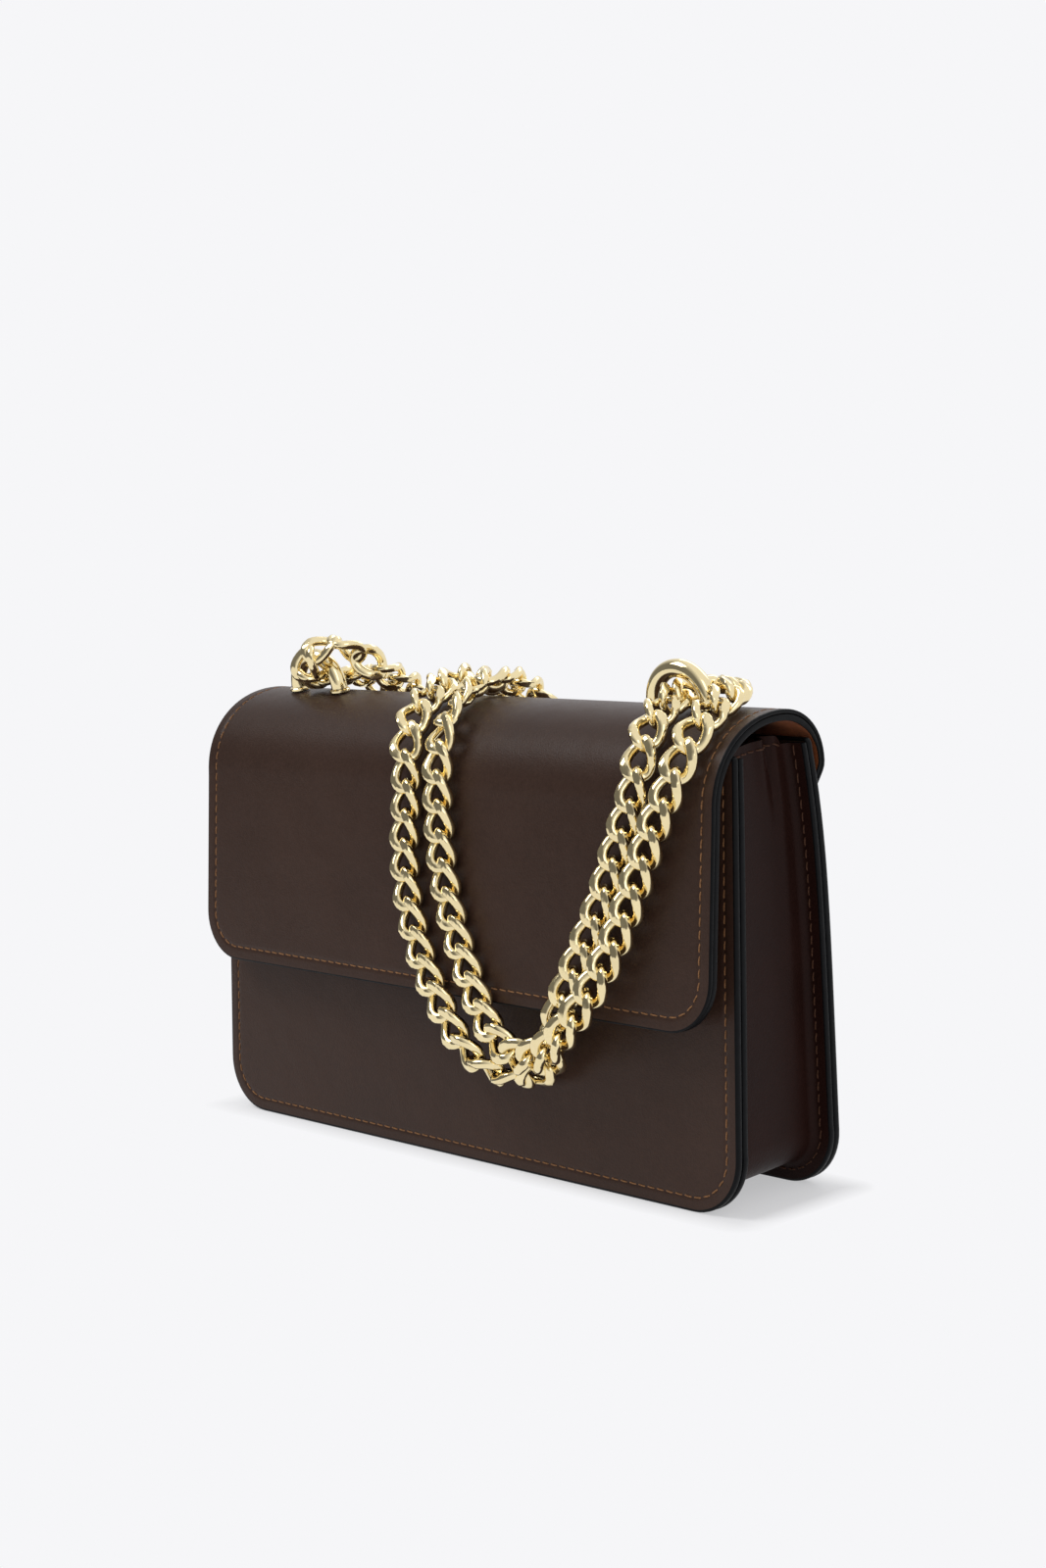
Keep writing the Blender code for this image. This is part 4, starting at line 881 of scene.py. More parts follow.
def chain_grid(route, facings, hooks, sizes):
    """Every link of a stretch: the link's shape turned and moved to each chord of its route.

    The first and last links roll an eighth of a turn about the line, which fades out over the
    next few, so that they lie along the swing line or stand upright to hook round a wire."""
    faces = smooth_line(facings)
    knots, places = even_knots(smooth_line(route))
    number = np.arange(len(knots) - 1)
    last = len(number) - 1
    middle = np.round((places[:-1] + places[1:]) / 2).astype(int).clip(0, len(faces) - 1)
    along = unit(np.diff(knots, axis=0))
    up = squared_up(faces[middle], along)
    fade = np.clip(1 - np.stack([number, last - number]) / ROLL_FADE_LINKS, 0, 1)
    ways = (-1 if hooks[0] else 1), (1 if hooks[1] else -1)
    roll = np.pi / 4 * np.where(fade[0] >= fade[1], ways[0] * fade[0], ways[1] * fade[1])[:, None]
    side = np.cross(along, up)
    side, up = (side * np.cos(roll) + up * np.sin(roll), up * np.cos(roll) - side * np.sin(roll))
    turn = np.stack([along, side, up], axis=1)
    shapes = np.stack([link_shape(sizes, (k == 0, k == last), k in (0, last)) for k in number])
    grid = np.einsum("kabi,kij->kabj", shapes, turn)
    return grid + ((knots[:-1] + knots[1:]) / 2)[:, None, None]


def whole_route(start, points, end, hooks):
    """A stretch from one swing point to the next.

    An end that hooks goes beyond the swing point, round the next stretch's wire; at any other
    end the middle of the stretch's own end wire lies on the swing point."""
    points = np.array(points)
    beyond = LINK_WIRE + SWING_PLAY - LINK_REACH
    ends = []
    for place, near, hooked in ((start, points[0], hooks[0]), (end, points[-1], hooks[1])):
        line = FRONT_SWING_LINE if place.startswith("front") else REAR_SWING_LINE
        swing = np.array([SWING_PLACES[place], *line])
        ends.append(swing + (beyond if hooked else -LINK_REACH) * unit(swing - near))
    return np.concatenate([ends[:1], points, ends[1:]])


def facing_up(route):
    """Flat side upwards."""
    return UPWARDS + 0 * route


def facing_out(route, outward):
    """Flat side outwards on the bag's face, turning upwards from the shoulder to the crest."""
    rise = np.clip((route[:, 2:] - FLAP_SHOULDER_HEIGHT)
                   / (FLAP_CREST_HEIGHT - FLAP_SHOULDER_HEIGHT), 0, 1)
    return np.array([0.0, outward, 0.0]) * (1 - rise / 2) + UPWARDS * rise


def facing_front(route):
    """Flat side outwards on the bag's front."""
    return facing_out(route, -1.0)


def facing_rear(route):
    """Flat side outwards on the bag's back."""
    return facing_out(route, 1.0)


def facing_edge_down(route):
    """Facing out, but turned down towards the link's edge round the loop's lowest place."""
    share = np.clip(1 - np.abs(route[:, :1] - EDGE_TURN_MIDDLE) / EDGE_TURN_REACH, 0, 1)
    return facing_front(route) * np.cos(EDGE_TURN * share) - UPWARDS * np.sin(EDGE_TURN * share)


def facing_off_bar(route):
    """Flat side away from the middle of an arch's bar."""
    away = route - np.array([0, ARCH_SETBACK, crest_seat()[0] + ARCH_LEG + ARCH_SPAN / 2])
    away[:, 0] = 0
    return unit(away)


# Name, swing place and hook at the start, points, swing place and hook at the end, facing, body.
STRETCHES = [
    ("chain_front_outer", "front_outer_start", False, FRONT_OUTER_ROUTE,
     "front_outer_end", False, facing_edge_down, "front_loops"),
    ("chain_front_inner", "front_inner_start", False, FRONT_INNER_ROUTE,
     "front_inner_end", True, facing_front, "front_loops"),
    ("chain_rear_outer", "rear_outer_start", False, REAR_OUTER_ROUTE,
     "rear_outer_end", False, facing_rear, "rear_loops"),
    ("chain_rear_inner", "rear_inner_start", False, REAR_INNER_ROUTE,
     "rear_inner_end", True, facing_rear, "rear_loops"),
    ("chain_top_outer", "rear_inner_end", False, TOP_OUTER_ROUTE,
     "front_outer_start", True, facing_up, "flap"),
    ("chain_top_inner", "front_inner_end", False, TOP_INNER_ROUTE,
     "rear_outer_start", True, facing_up, "flap"),
    ("chain_right_turn", "front_outer_end", True, RIGHT_TURN_ROUTE,
     "front_inner_start", True, facing_up, "flap"),
    ("chain_left_turn", "rear_outer_end", True, LEFT_TURN_ROUTE,
     "rear_inner_start", True, facing_off_bar, "flap"),
]


# Materials

def add(tree, kind, inputs=None, **settings):
    """Add a node. Inputs maps a socket to a value or to the output of another node."""
    node = tree.nodes.new(kind)
    for key, value in settings.items():
        setattr(node, key, value)
    for key, value in (inputs or {}).items():
        if isinstance(value, bpy.types.NodeSocket):
            tree.links.new(value, node.inputs[key])
        else:
            node.inputs[key].default_value = value
    return node


def noise(tree, place, size, detail=3.0, roughness=0.55):
    """Cloudy noise whose blotches are about `size` metres wide."""
    values = {"Vector": place, "Scale": 1 / size, "Detail": detail, "Roughness": roughness}
    return add(tree, "ShaderNodeTexNoise", values).outputs["Fac"]


def span(tree, value, low, high, start=0.3, end=0.7):
    """Map a pattern's usual range onto low to high."""
    values = {"Value": value, "From Min": start, "From Max": end, "To Min": low, "To Max": high}
    return add(tree, "ShaderNodeMapRange", values).outputs["Result"]


def joined(tree, a, b, operation):
    """Two values joined by an operation."""
    return add(tree, "ShaderNodeMath", {0: a, 1: b}, operation=operation).outputs[0]


def shaded(tree, colour, pattern, low, high):
    """A colour scaled by a pattern, from low to high."""
    return add(tree, "ShaderNodeVectorMath", {0: colour, "Scale": span(tree, pattern, low, high)},
               operation="SCALE").outputs[0]


def two_toned(tree, colour, pattern, dark, light):
    """A colour that drifts with a pattern from a darker tone of its own to a lighter one."""
    tones = [(*[min(c * tone, 1) for c in colour], 1.0) for tone in (dark, light)]
    return add(tree, "ShaderNodeMix", {0: span(tree, pattern, 0, 1), 6: tones[0], 7: tones[1]},
               data_type="RGBA").outputs[2]


def bumped(tree, layers):
    """Bump nodes one on the other: each layer is (height, distance in metres)."""
    normal = None
    for height, distance in layers:
        values = {"Height": height, "Strength": 1.0, "Distance": distance}
        if normal is not None:
            values["Normal"] = normal
        normal = add(tree, "ShaderNodeBump", values).outputs["Normal"]
    return normal


def new_material(name, constants):
    """A material with a Principled shader, its constants set on the shader's own sockets."""
    material = bpy.data.materials.new(name)
    material.use_nodes = True
    tree = material.node_tree
    for key, value in constants.items():
        tree.nodes["Principled BSDF"].inputs[key].default_value = value
    return material, tree, tree.nodes.new("ShaderNodeTexCoord").outputs["Object"]


def connect(material, outputs):
    """Connect outputs to the sockets of a material's shader, and return the material."""
    tree = material.node_tree
    for key, value in outputs.items():
        tree.links.new(value, tree.nodes["Principled BSDF"].inputs[key])
    return material


# Leather: its roughness and how much that varies, and the size of its patterns in metres.
LEATHER_ROUGHNESS, LEATHER_GLOSS_RANGE = 0.40, 0.03
CLOUD_SIZE, SPECK_SIZE, PORE_SIZE = 0.035, 0.0012, 0.00055
WAVE_SIZE, WAVE_DEPTH = 0.018, 0.00035


def leather(name, colour, mottle, grain, specular):
    """Smooth finished leather: slow tone clouds, fine pores, and faint waves in the gloss."""
    material, tree, place = new_material(name, {"Specular IOR Level": specular})
    clouds = noise(tree, place, CLOUD_SIZE, detail=4.0)
    specks = noise(tree, place, SPECK_SIZE, roughness=0.6)
    pores = add(tree, "ShaderNodeTexVoronoi", {"Vector": place, "Scale": 1 / PORE_SIZE},
                feature="F1").outputs["Distance"]
    warm = two_toned(tree, colour, clouds, dark=1 - mottle, light=1 + mottle)
    tone = shaded(tree, warm, specks, low=0.90, high=1.10)
    low, high = LEATHER_ROUGHNESS - LEATHER_GLOSS_RANGE, LEATHER_ROUGHNESS + LEATHER_GLOSS_RANGE
    gloss = joined(tree, span(tree, clouds, low, high),
                   span(tree, specks, -LEATHER_GLOSS_RANGE, LEATHER_GLOSS_RANGE), "ADD")
    normal = bumped(tree, [(noise(tree, place, WAVE_SIZE, detail=2.0), WAVE_DEPTH),
                           (specks, grain * 0.6), (pores, grain)])
    return connect(material, {"Base Color": tone, "Roughness": gloss, "Normal": normal})


def edge_paint(name, colour):
    """Edge paint: nearly black, in thick uneven coats."""
    material, tree, place = new_material(name, {"Specular IOR Level": 0.11})
    lumps, fine = noise(tree, place, size=0.0035), noise(tree, place, size=0.0006, detail=2.0)
    return connect(material, {"Base Color": shaded(tree, tuple(colour), lumps, low=0.75, high=1.35),
                              "Roughness": span(tree, fine, low=0.34, high=0.5),
                              "Normal": bumped(tree, [(lumps, 0.00012), (fine, 0.00003)])})


def brushed_suede(name, colour):
    """Suede: a brushed nap in lighter and darker strokes, and a soft sheen."""
    material, tree, place = new_material(name, {
        "Roughness": 0.95, "Sheen Weight": 0.06, "Sheen Roughness": 0.5, "Specular IOR Level": 0.05})
    strokes = noise(tree, place, size=0.012, detail=5.0, roughness=0.65)
    nap = noise(tree, place, size=0.0007, detail=4.0, roughness=0.7)
    warm = two_toned(tree, colour, strokes, dark=0.72, light=1.25)
    tone = shaded(tree, warm, nap, low=0.85, high=1.15)
    return connect(material, {"Base Color": tone, "Normal": bumped(tree, [(nap, 0.00012)])})


def fibres(name, colour, constants, size, detail, low, high):
    """Twisted thread or pressed board: fine fibres, lighter and darker, that stand out a little."""
    material, tree, place = new_material(name, constants)
    pattern = noise(tree, place, size, detail, roughness=0.7)
    return connect(material, {"Base Color": shaded(tree, tuple(colour), pattern, low, high),
                              "Normal": bumped(tree, [(pattern, 0.0001)])})


def metal(name, colour, roughness, scratch):
    """Plated metal: slight tone clouds, fine rubbing marks in gloss and surface."""
    material, tree, place = new_material(name, {"Metallic": 1.0})
    clouds = noise(tree, place, size=0.006)
    rubs = noise(tree, place, size=0.0005, detail=4.0, roughness=0.7)
    gloss = joined(tree, span(tree, rubs, low=roughness * 0.8, high=roughness * 1.25),
                   span(tree, clouds, low=-0.02, high=0.02), "ADD")
    return connect(material, {"Base Color": shaded(tree, tuple(colour), clouds, low=0.93, high=1.04),
                              "Roughness": gloss,
                              "Normal": bumped(tree, [(clouds, scratch * 4), (rubs, scratch)])})


# Each finish: the colour that the user may change, its maker and the maker's values. These are
# mottle, pores' depth and specular level for leather; constants, size, detail and the darkest
# and lightest share for fibres; roughness and depth of the marks for metal.
THREAD_SHINE = {"Roughness": 0.6, "Specular IOR Level": 0.15}
THREAD = (fibres, THREAD_SHINE, 0.0004, 3.0, 0.4, 1.3)
FINISHES = {
    "calf leather": ("leather", leather, 0.10, 0.00004, 0.18),
    "gusset leather": ("gusset", leather, 0.16, 0.00006, 0.07),
    "painted edge": ("edge_paint", edge_paint),
    "suede lining": ("suede", brushed_suede),
    "thread": ("thread", *THREAD),
    "gusset thread": ("gusset_thread", *THREAD),
    "fibre board": ("board", fibres, {"Roughness": 0.9}, 0.0015, 5.0, 0.7, 1.25),
    "gold plate": ("gold", metal, 0.10, 0.000004),
    "bright steel": ("steel", metal, 0.3, 0.00001),
}


def finish(name):
    """The named finish, made once from the scene's colours."""
    key, maker, *values = FINISHES[name]
    return (bpy.data.materials.get(name)
            or maker(name, getattr(bpy.context.scene.bag_colours, key), *values))


def give_finish(node, name):
    """A carried-over CAD node takes a finish in its own material slot."""
    frame["nodes"][node].data.materials.clear()
    frame["nodes"][node].data.materials.append(finish(name))


# The add-on

def length(name, description, default):
    """A length in metres that a user may change."""
    return bpy.props.FloatProperty(name=name, description=description, default=default, min=0.0,
                                   precision=5, unit="LENGTH")


def colour(name, description, default):
    """A linear colour that a user may change."""
    return bpy.props.FloatVectorProperty(name=name, description=description, default=default,
                                         size=3, min=0.0, max=1.0, subtype="COLOR")


class BagSizes(bpy.types.PropertyGroup):
    """Sizes of the stitching, the soft leather and the links."""
    stitch_length: length("Stitch length", "From one stitch to the next", 0.00366)
    stitch_share: bpy.props.FloatProperty(
        name="Stitch share", description="Seen part of a stitch, as a share of its length",
        default=0.9, min=0.3, max=1.0, subtype="FACTOR")
    stitch_inset: length("Stitch inset", "From the leather's edge to the stitch row", 0.0044)
    stitch_lean: length("Stitch lean", "How far a stitch leans across its row", 0.00025)
    thread_diameter: length("Thread diameter", "Thickness of the thread", 0.00048)
    thread_rise: length("Thread rise", "How high the thread's middle lies", 0.00016)
    thread_dive: length("Thread dive", "How deep the thread's ends go", 0.00055)
    groove_depth: length("Furrow depth", "How deep the thread pulls in", 0.00030)
    groove_width: length("Furrow width", "How wide the furrow is", 0.0005)
    web_thickness: length("Gusset thickness", "Leather of the gusset between its flanges", 0.0015)
    hem_drop: length("Hem drop", "From the flanges' top to the hem's stitches", 0.0020)
    web_bow: length("Gusset bow", "How far the open end of the gusset sinks in", 0.0009)
    web_rise: length("Gusset rise", "How far the open end stands above the flanges", 0.0024)
    web_ridge: length("Gusset ridge", "Height of the soft ridge beside the rear valley", 0.0006)
    crease_length: length("Crease length", "How far the pinched crease runs down", 0.026)
    crease_depth: length("Crease depth", "How deep the pinched crease is", 0.0034)
    suede_thickness: length("Suede thickness", "Suede of the lining", 0.0008)
    wire: length("Link wire", "Thickness of the links' wire", 0.0030)
    wire_spread: bpy.props.FloatProperty(
        name="Wire spread", description="How much wider than thick the pressed wire is",
        default=1.16, min=1.0, max=1.5)
    link_width: length("Link width", "Width of a link across the chain", 0.0115)
    cut_height: length("Cut height", "From the chain's middle to its diamond-cut flats", 0.0026)
    link_stations: bpy.props.IntProperty(
        name="Link steps", description="Steps round a link's oval", default=32, min=8, max=64)
    wire_sides: bpy.props.IntProperty(
        name="Wire sides", description="Faces round a link's wire", default=14, min=6, max=32)


class BagColours(bpy.types.PropertyGroup):
    """Colours of the finishes."""
    leather: colour("Leather", "Smooth brown leather", (0.0444, 0.0229, 0.0158))
    gusset: colour("Gusset leather", "Darker reddish leather of the gusset", (0.0190, 0.0070, 0.0053))
    edge_paint: colour("Edge paint", "Nearly black paint of cut edges", (0.0026, 0.0030, 0.0038))
    thread: colour("Thread", "Orange-brown thread", (0.30, 0.148, 0.066))
    gusset_thread: colour("Gusset thread", "Darker thread of the gusset", (0.095, 0.042, 0.024))
    suede: colour("Suede", "Orange-brown suede", (0.24, 0.068, 0.021))
    board: colour("Board", "Fibre board of the base", RECORD_COLOURS["board"])
    gold: colour("Gold plate", "Pale gold plating", (0.90, 0.76, 0.445))
    steel: colour("Steel", "Plain steel", RECORD_COLOURS["steel"])
    ground: colour("Ground", "Floor and background", (0.922, 0.922, 0.939))


def camera_frame():
    """The fitted camera's axes, right, up and back, and its position."""
    az, el, roll = CAMERA_AZIMUTH, CAMERA_ELEVATION, CAMERA_ROLL
    back = np.array([np.sin(az) * np.cos(el), -np.cos(az) * np.cos(el), np.sin(el)])
    right = unit(np.cross(-back, UPWARDS))
    up = np.cross(right, -back)
    eye = (CAMERA_AIM_HEIGHT * UPWARDS + back * CAMERA_DISTANCE
           + right * CAMERA_SLIDE[0] + up * CAMERA_SLIDE[1])
    return (np.cos(roll) * right + np.sin(roll) * up, -np.sin(roll) * right + np.cos(roll) * up,
            back, eye + SHIFT)


def softbox(name, place, aim, size, power):
    """A rectangular area lamp that looks at a point."""
    data = bpy.data.lights.new(name, "AREA")
    data.shape = "RECTANGLE"
    data.size, data.size_y = size
    data.energy = power
    lamp = bpy.data.objects.new(name, data)
    bpy.context.scene.collection.objects.link(lamp)
    lamp.location = place
    lamp.rotation_euler = (Vector(aim) - Vector(place)).to_track_quat("-Z", "Y").to_euler()


def from_vectors(tree, operation, first, second=None):
    """A vector operation on a vector and another vector or a constant."""
    values = {0: first} if second is None else {0: first, 1: second}
    node = add(tree, "ShaderNodeVectorMath", values, operation=operation)
    return node.outputs["Value" if operation in ("LENGTH", "DOT_PRODUCT") else "Vector"]


def ray_kinds(tree):
    """Two values: one for the camera's own rays, one for those that a mirror or a glass sends on."""
    rays = tree.nodes.new("ShaderNodeLightPath").outputs
    return rays["Is Camera Ray"], joined(tree, rays["Is Glossy Ray"], rays["Is Transmission Ray"],
                                         "MAXIMUM")


def ground_material(tone):
    """Pale floor that keeps the bag's shadow nearby and turns into the background further off.

    The way beyond the bag's footprint is the length of max(|place| - half size, 0)."""
    material = bpy.data.materials.new("pale ground")
    material.use_nodes = True
    tree = material.node_tree
    tree.nodes.clear()
    place = tree.nodes.new("ShaderNodeTexCoord").outputs["Object"]
    beyond = from_vectors(tree, "ABSOLUTE", from_vectors(tree, "SUBTRACT", place, tuple(SHIFT)))
    beyond = from_vectors(tree, "SUBTRACT", beyond, (PANEL_WIDTH / 2, BASE_DEPTH / 2, 0.0))
    beyond = from_vectors(tree, "MAXIMUM", beyond, (0.0, 0.0, 0.0))
    fade = span(tree, from_vectors(tree, "LENGTH", beyond), SHADOW_LIFT, 1.0, 0.0, SHADOW_REACH)
    lit = add(tree, "ShaderNodeBsdfDiffuse", {"Color": (*tone, 1.0)}).outputs[0]
    plain = add(tree, "ShaderNodeEmission", {"Color": (*tone, 1.0)}).outputs[0]
    seen = joined(tree, joined(tree, *ray_kinds(tree), "MAXIMUM"), fade, "MULTIPLY")
    mix = add(tree, "ShaderNodeMixShader", {0: seen, 1: lit, 2: plain}).outputs[0]
    add(tree, "ShaderNodeOutputMaterial", {"Surface": mix})
    return material


def make_world(scene, tone):
    """A pale studio: even light at a plain level, and a pale backdrop that the camera sees.

    Metal mirrors that backdrop too, and the unlit room before it, in the direction ROOM_WAY."""
    scene.world = bpy.data.worlds.new("studio")
    scene.world.use_nodes = True
    tree = scene.world.node_tree
    tree.nodes.clear()
    way = tree.nodes.new("ShaderNodeTexCoord").outputs["Generated"]
    facing = from_vectors(tree, "DOT_PRODUCT", way, ROOM_WAY)
    backdrop = span(tree, facing, 1.0, ROOM_LIGHT, 0.0, ROOM_SPAN)
    camera, mirrored = ray_kinds(tree)
    shade = joined(tree, joined(tree, mirrored, backdrop, "MULTIPLY"),
                   joined(tree, 1.0, mirrored, "SUBTRACT"), "ADD")
    even = add(tree, "ShaderNodeBackground", {"Color": (1.0, 1.0, 1.0, 1.0), "Strength": EVEN_LIGHT})
    seen = add(tree, "ShaderNodeBackground", {"Color": (*tone, 1.0), "Strength": shade})
    direct = joined(tree, camera, mirrored, "MAXIMUM")
    mix = add(tree, "ShaderNodeMixShader", {0: direct, 1: even.outputs[0], 2: seen.outputs[0]})
    add(tree, "ShaderNodeOutputWorld", {"Surface": mix.outputs[0]})


def settle(piece, body, slot, *nodes):
    """A piece rides on a body, and the CAD nodes that it stands for are hidden. The slot is not used.
    """
    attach(piece, body)
    if nodes:
        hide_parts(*nodes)


def bend_with_flap(piece, slot, *nodes):
    """A piece's placing is baked into its mesh, and the CAD nodes that it stands for are hidden. The
    slot is not used.
    """
    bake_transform(piece)
    if nodes:
        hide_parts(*nodes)


class BAG_OT_stage(bpy.types.Operator):
    """Make the floor, the studio light and the camera"""
    bl_idname = "bag.stage"
    bl_label = "Stage"

    def execute(self, context):
        scene = context.scene
        tone = tuple(scene.bag_colours.ground)
        side = np.linspace(-FLOOR_HALF, FLOOR_HALF, 3)
        x, y = np.meshgrid(side, side)
        floor = make_piece("floor", [(np.stack([x, y, 0 * x], axis=-1), False, False, 0)],
                           [ground_material(tone)])
        if floor.data.polygons[0].normal.z < 0:
            floor.data.flip_normals()
        make_world(scene, tone)
        for lamp in SOFTBOXES:
            softbox(*lamp)
        data = bpy.data.cameras.new("camera")
        data.sensor_width = SENSOR
        data.sensor_fit = "AUTO"
        data.lens = CAMERA_FOCUS_PIXELS * SENSOR / PICTURE_LONG_SIDE
        data.clip_start = 0.01
        camera = bpy.data.objects.new("camera", data)
        scene.collection.objects.link(camera)
        turn = np.eye(4)
        turn[:3] = np.stack(camera_frame(), axis=1)
        camera.matrix_world = Matrix(turn.tolist())
        scene.camera = camera
        scene.view_settings.view_transform = "Standard"
        return {"FINISHED"}


class BAG_OT_panels(bpy.types.Operator):
    """Make the front and back panels with painted edges and stitching"""
    bl_idname = "bag.panels"
    bl_label = "Panels"

    def execute(self, context):
        sizes, plan = context.scene.bag_sizes, panel_plan()
        for side, name in ((-1, "front_panel"), (1, "back_panel")):
            place = panel_place(side)
            grids = plate_grids(plan, place, 0.0, PANEL_THICKNESS, PANEL_RIM, sizes)
            piece = make_piece(f"{name}_leather", grids,
                               [finish("calf leather"), finish("painted edge")], leaning=True)
            settle(piece, "body", "leather", name)
            path = furrow_path(plan, place, sizes, True)
            settle(stitch_row(f"{name}_stitches", *path, sizes, "thread"), "body", "leather")
        return {"FINISHED"}


class BAG_OT_gusset(bpy.types.Operator):
    """Make the folded gusset with its pinched crease and stitching"""
    bl_idname = "bag.gusset"
    bl_label = "Gusset"

    def execute(self, context):
        sizes, edge = context.scene.bag_sizes, gusset_edge()
        piece = make_piece("gusset_leather", gusset_grids(sizes),
                           [finish("gusset leather"), finish("painted edge")], leaning=True)
        settle(piece, "body", "gusset_leather", "gusset")
        rows = []
        for w, name in ((-1, "front"), (1, "rear")):
            section = np.array([[FLANGE_STITCH_INSET, w, -w * GUSSET_THICKNESS, 0.0]])
            rows.append((f"gusset_{name}_flange_stitches",
                         gusset_points(edge, section, sizes)[:, 0], (0.0, -w, 0.0)))
        seen = gusset_section(sizes)[0]
        web = seen[(seen[:, 3] > 0) & (seen[:, 3] < 1)]
        hem = edge[-1].copy()
        hem[1] -= sizes.hem_drop
        hem[0] = half_width(hem[1])
        for side, name in ((-1, "left"), (1, "right")):
            row_edge = (hem * np.array([side, 1, side, 1]))[None]
            rows.append((f"gusset_{name}_hem_stitches",
                         gusset_points(row_edge, web, sizes, sizes.thread_rise)[0], (side, 0.0, 0.0)))
        for name, path, outward in rows:
            row = stitch_row(name, path, np.tile(outward, (len(path), 1)), sizes, "gusset thread")
            settle(row, "body", "gusset_leather")
        return {"FINISHED"}


class BAG_OT_lining(bpy.types.Operator):
    """Make the suede pouch and finish the base board"""
    bl_idname = "bag.lining"
    bl_label = "Suede lining"

    def execute(self, context):
        piece = make_piece("suede_pouch", pouch_grids(context.scene.bag_sizes),
                           [finish("suede lining")], leaning=True)
        settle(piece, "body", "suede", "front_lining", "back_lining", "gusset_lining")
        give_finish("base_board", "fibre board")
        return {"FINISHED"}


class BAG_OT_flap(bpy.types.Operator):
    """Make the flap: outer leather, suede underside, painted edges and stitching"""
    bl_idname = "bag.flap"
    bl_label = "Flap"

    def execute(self, context):
        sizes, plan = context.scene.bag_sizes, flap_plan()
        paint = finish("painted edge")
        grids = plate_grids(plan, flap_place, 0.0, FLAP_LEATHER_THICKNESS, FLAP_RIM, sizes)
        piece = make_piece("flap_outer_leather", grids, [finish("calf leather"), paint])
        bend_with_flap(piece, "leather", "flap_leather", "flap_strip")
        grids = plate_grids(flap_plan(SUEDE_MARGIN), suede_place, SUEDE_START, SUEDE_DEPTH, SUEDE_RIM)
        piece = make_piece("flap_suede", grids, [finish("suede lining"), paint])
        bend_with_flap(piece, "suede", "flap_lining")
        path = furrow_path(plan, flap_place, sizes, False)
        row = stitch_row("flap_stitches", *path, sizes, "thread", False)
        bend_with_flap(row, "leather")
        return {"FINISHED"}


class BAG_OT_arches(bpy.types.Operator):
    """Make the two arches on their collars, and finish the screws and washers beneath"""
    bl_idname = "bag.arches"
    bl_label = "Arches"

    def execute(self, context):
        height, slope = crest_seat()
        radius, low = COLLAR_DIAMETER / 2, CLEARANCE
        high = CLEARANCE + COLLAR_HEIGHT
        for name, side in (("left_arch", -1), ("right_arch", 1)):
            bar = seat(arch_grid(), side * ARCH_OFFSET, ARCH_SETBACK, height, slope)
            piece = make_piece(f"{name}_bar", [(bar, False, True, 0)], [finish("gold plate")])
            settle(piece, "flap", "gold", name)
            for foot, way in (("outer", side), ("inner", -side)):
                x = side * ARCH_OFFSET + way * ARCH_SPAN / 2
                piece = turned_piece(f"{name}_{foot}_foot_collar",
                                     [(0, low), (radius, low), (radius, high), (0, high)],
                                     COLLAR_BEVEL, COLLAR_SIDES, x, ARCH_SETBACK, height, slope)
                settle(piece, "flap", "gold", f"{name}_{foot}_collar")
        for name in frame["nodes"]:
            if name.endswith(("_washer", "_screw")):
                give_finish(name, "bright steel")
        return {"FINISHED"}


class BAG_OT_snap(bpy.types.Operator):
    """Make the magnetic snap: socket on the panel and stud on the flap"""
    bl_idname = "bag.snap"
    bl_label = "Magnetic snap"

    def execute(self, context):
        lean = np.arctan2((BASE_DEPTH - TOP_DEPTH) / 2, PANEL_HEIGHT)
        outside, mouth, post = SNAP_DIAMETER / 2, SOCKET_BORE / 2, SNAP_POST / 2
        back = -PANEL_THICKNESS - CLEARANCE - SNAP_WASHER_THICKNESS
        top = CLEARANCE + SOCKET_THICKNESS
        floor = top - SOCKET_BORE_DEPTH
        piece = turned_piece("snap_socket_cup",
                             [(0, back), (post, back), (post, CLEARANCE), (outside, CLEARANCE),
                              (outside, top), (mouth, top), (mouth, floor), (0, floor)],
                             SNAP_BEVEL, SNAP_SIDES, 0, -half_depth(SNAP_HEIGHT), SNAP_HEIGHT,
                             np.pi / 2 - lean)
        settle(piece, "body", "gold", "snap_socket")
        tilt = np.arctan2(FLAP_EDGE_REACH - FLAP_SHOULDER_REACH,
                          FLAP_SHOULDER_HEIGHT - FLAP_EDGE_HEIGHT)
        reach = FLAP_EDGE_REACH - (SNAP_HEIGHT - FLAP_EDGE_HEIGHT) * np.tan(tilt)
        base = FLAP_LEATHER_THICKNESS + 2 * CLEARANCE
        low, stud = base + FLAP_LINING_THICKNESS, STUD_DIAMETER / 2
        high = low + STUD_PLATE
        tip = high + STUD_HEIGHT
        piece = turned_piece("snap_stud_plate",
                             [(0, base), (post, base), (post, low), (outside, low), (outside, high),
                              (stud, high), (stud, tip), (0, tip)],
                             SNAP_BEVEL, SNAP_SIDES, 0, -reach, SNAP_HEIGHT, -np.pi / 2 - tilt)
        settle(piece, "flap", "gold", "snap_stud")
        return {"FINISHED"}


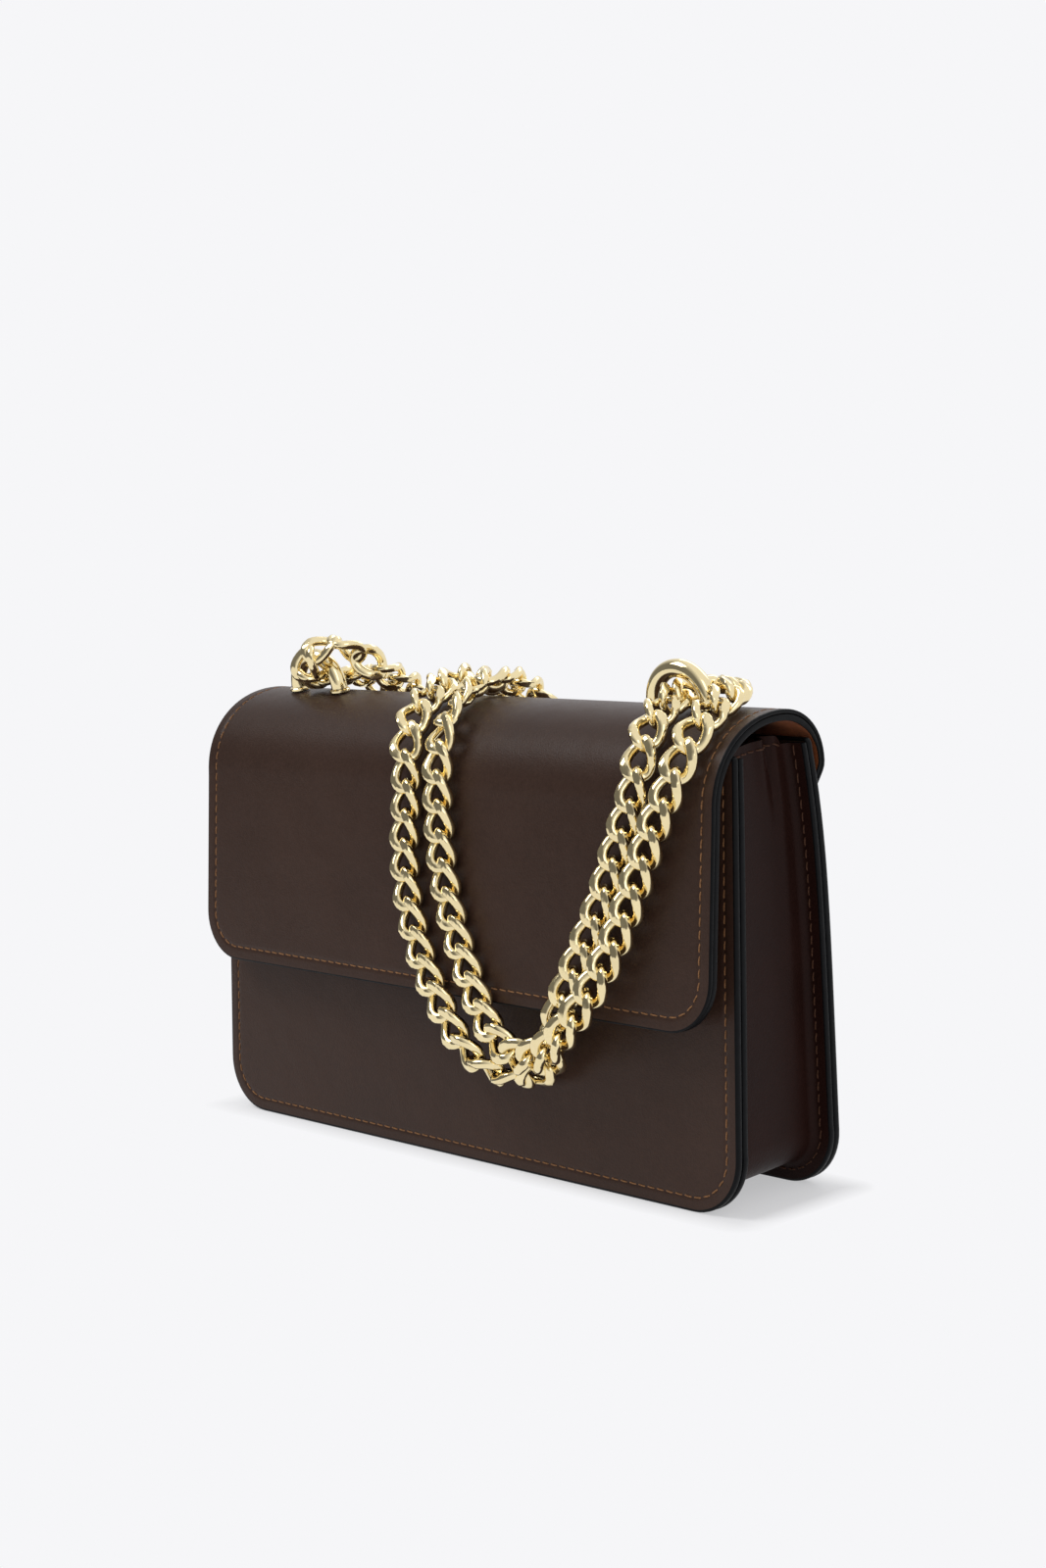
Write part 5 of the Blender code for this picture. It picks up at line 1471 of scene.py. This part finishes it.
class BAG_OT_chain(bpy.types.Operator):
    """Make the curb chain, one piece for each stretch of its route"""
    bl_idname = "bag.chain"
    bl_label = "Chain"

    def execute(self, context):
        for name, start, hooks_first, points, end, hooks_last, facing, body in STRETCHES:
            hooks = (hooks_first, hooks_last)
            route = whole_route(start, points, end, hooks)
            grid = chain_grid(route, facing(route), hooks, context.scene.bag_sizes)
            piece = make_piece(f"{name}_links", [(grid, True, True, 0)], [finish("gold plate")],
                               smooth_angle=36)
            settle(piece, body, "gold", name)
        return {"FINISHED"}


class BAG_PT_sidebar(bpy.types.Panel):
    """Bag tab in the 3D view's sidebar"""
    bl_label = "Leather crossbody bag"
    bl_space_type = "VIEW_3D"
    bl_region_type = "UI"
    bl_category = "Bag"

    def draw(self, context):
        for group in (context.scene.bag_sizes, context.scene.bag_colours):
            box = self.layout.box()
            for key in group.bl_rna.properties.keys():
                if key not in ("rna_type", "name"):
                    box.prop(group, key)
        for operator in OPERATORS:
            self.layout.operator(operator.bl_idname)


OPERATORS = (BAG_OT_stage, BAG_OT_panels, BAG_OT_gusset, BAG_OT_lining, BAG_OT_flap,
             BAG_OT_arches, BAG_OT_snap, BAG_OT_chain)
CLASSES = (BagSizes, BagColours, *OPERATORS, BAG_PT_sidebar)


def register():
    """Add the classes, and the sizes and colours to the scene."""
    for thing in CLASSES:
        bpy.utils.register_class(thing)
    bpy.types.Scene.bag_sizes = bpy.props.PointerProperty(type=BagSizes)
    bpy.types.Scene.bag_colours = bpy.props.PointerProperty(type=BagColours)


def unregister():
    """Take away what register added."""
    del bpy.types.Scene.bag_colours
    del bpy.types.Scene.bag_sizes
    for thing in reversed(CLASSES):
        bpy.utils.unregister_class(thing)


def main():
    """Register the add-on and make every piece in order."""
    register()
    bpy.ops.bag.stage()
    bpy.ops.bag.panels()
    bpy.ops.bag.gusset()
    bpy.ops.bag.lining()
    bpy.ops.bag.flap()
    bpy.ops.bag.arches()
    bpy.ops.bag.snap()
    bpy.ops.bag.chain()


if __name__ == "__main__":
    main()
